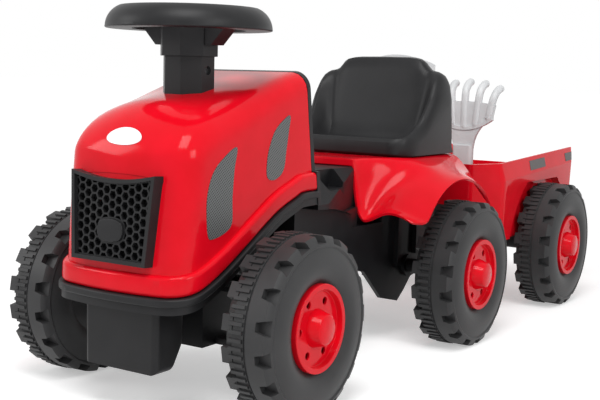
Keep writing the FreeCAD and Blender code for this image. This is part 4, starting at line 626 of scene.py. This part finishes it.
def camera():
    """The photo's own view, fitted to the wheels and the floor."""
    turn, rise, roll = math.radians(33.38), math.radians(6.58), math.radians(1.42)
    spot = to_frame((691.2, -841.3, 324.2))
    back = Vector((math.sin(turn) * math.cos(rise), -math.cos(turn) * math.cos(rise), math.sin(rise)))
    right = Vector((math.cos(turn), math.sin(turn), 0))
    up = back.cross(right)
    across = right * math.cos(roll) + up * math.sin(roll)
    upward = up * math.cos(roll) - right * math.sin(roll)
    data = bpy.data.cameras.new("camera")
    data.sensor_width = 36.0
    data.lens = 64.585
    data.clip_start = 0.05
    cam = bpy.data.objects.new("camera", data)
    bpy.context.scene.collection.objects.link(cam)
    cam.matrix_world = Matrix((
        (across.x, upward.x, back.x, spot.x),
        (across.y, upward.y, back.y, spot.y),
        (across.z, upward.z, back.z, spot.z),
        (0, 0, 0, 1),
    ))
    bpy.context.scene.camera = cam


def background_share(tree):
    """1 for rays that look at the background straight, in a mirror or through glass, else 0."""
    path = tree.nodes.new("ShaderNodeLightPath")
    share = path.outputs["Is Camera Ray"]
    for kind in ("Is Glossy Ray", "Is Transmission Ray"):
        share = calculate(tree, "MAXIMUM", share, path.outputs[kind])
    return share


def white_floor():
    """White paper that glows a little for the camera, more so far away, and so runs out into the background."""
    far = 30.0
    glow_reach, glow_level = (0.8, 3.0), (0.42, 0.70)
    mesh = bpy.data.meshes.new("floor")
    mesh.from_pydata([(-far, -far, 0), (far, -far, 0), (far, far, 0), (-far, far, 0)], [], [(0, 1, 2, 3)])
    floor = bpy.data.objects.new("floor", mesh)
    bpy.context.scene.collection.objects.link(floor)
    paper = plastic("floor", (0.80, 0.80, 0.80), (0.82, 0.82, 0.82), 0.9, scale=2.0, shine=0.0)
    tree = paper.node_tree
    coord = tree.nodes.new("ShaderNodeTexCoord")
    reach = tree.nodes.new("ShaderNodeVectorMath")
    reach.operation = "LENGTH"
    tree.links.new(coord.outputs["Object"], reach.inputs[0])
    level = map_range(tree, reach.outputs["Value"], glow_reach, glow_level)
    glow = tree.nodes.new("ShaderNodeEmission")
    tree.links.new(calculate(tree, "MULTIPLY", background_share(tree), level), glow.inputs["Strength"])
    both = tree.nodes.new("ShaderNodeAddShader")
    tree.links.new(tree.nodes["Principled BSDF"].outputs["BSDF"], both.inputs[0])
    tree.links.new(glow.outputs["Emission"], both.inputs[1])
    tree.links.new(both.outputs["Shader"], tree.nodes["Material Output"].inputs["Surface"])
    floor.data.materials.append(paper)


def white_world():
    """Soft white light all round, behind a background that the camera sees as plain white."""
    world = bpy.data.worlds.new("world")
    bpy.context.scene.world = world
    world.use_nodes = True
    tree = world.node_tree
    light = tree.nodes["Background"]
    light.inputs["Color"].default_value = (1, 1, 1, 1)
    light.inputs["Strength"].default_value = 0.45
    white = tree.nodes.new("ShaderNodeBackground")
    white.inputs["Color"].default_value = (1, 1, 1, 1)
    pick = tree.nodes.new("ShaderNodeMixShader")
    tree.links.new(background_share(tree), pick.inputs["Fac"])
    tree.links.new(light.outputs["Background"], pick.inputs[1])
    tree.links.new(white.outputs["Background"], pick.inputs[2])
    tree.links.new(pick.outputs["Shader"], tree.nodes["World Output"].inputs["Surface"])


def lamp(name, spot, aim, size, power):
    """Square soft box at a spot in metres that looks at another."""
    data = bpy.data.lights.new(name, "AREA")
    data.size = size
    data.energy = power
    obj = bpy.data.objects.new(name, data)
    bpy.context.scene.collection.objects.link(obj)
    obj.location = spot
    obj.rotation_euler = (Vector(aim) - Vector(spot)).to_track_quat("-Z", "Y").to_euler()


def studio():
    """White floor and background, soft light from above and from both sides of the camera."""
    white_floor()
    white_world()
    lamp("above", (0.5, -1.1, 1.9), (0, -0.1, 0.2), 0.9, 24)
    lamp("right", (-1.5, -1.5, 1.0), (0, -0.2, 0.2), 0.7, 9)
    lamp("left", (1.8, -0.8, 1.1), (0, -0.25, 0.2), 0.7, 11)
    bpy.context.scene.view_settings.view_transform = "Standard"


dress_nodes()
hood_skin()
vents()
sticker()
# The skin and the sticker are cast from the CAD hood as it is, so it is lowered only now.
NODES["hood"].modifiers.new("sink", "NODES").node_group = sink_group()
tub_decals()
tyre_ribs()
rear_skin()
bucket_seat()
camera()
studio()
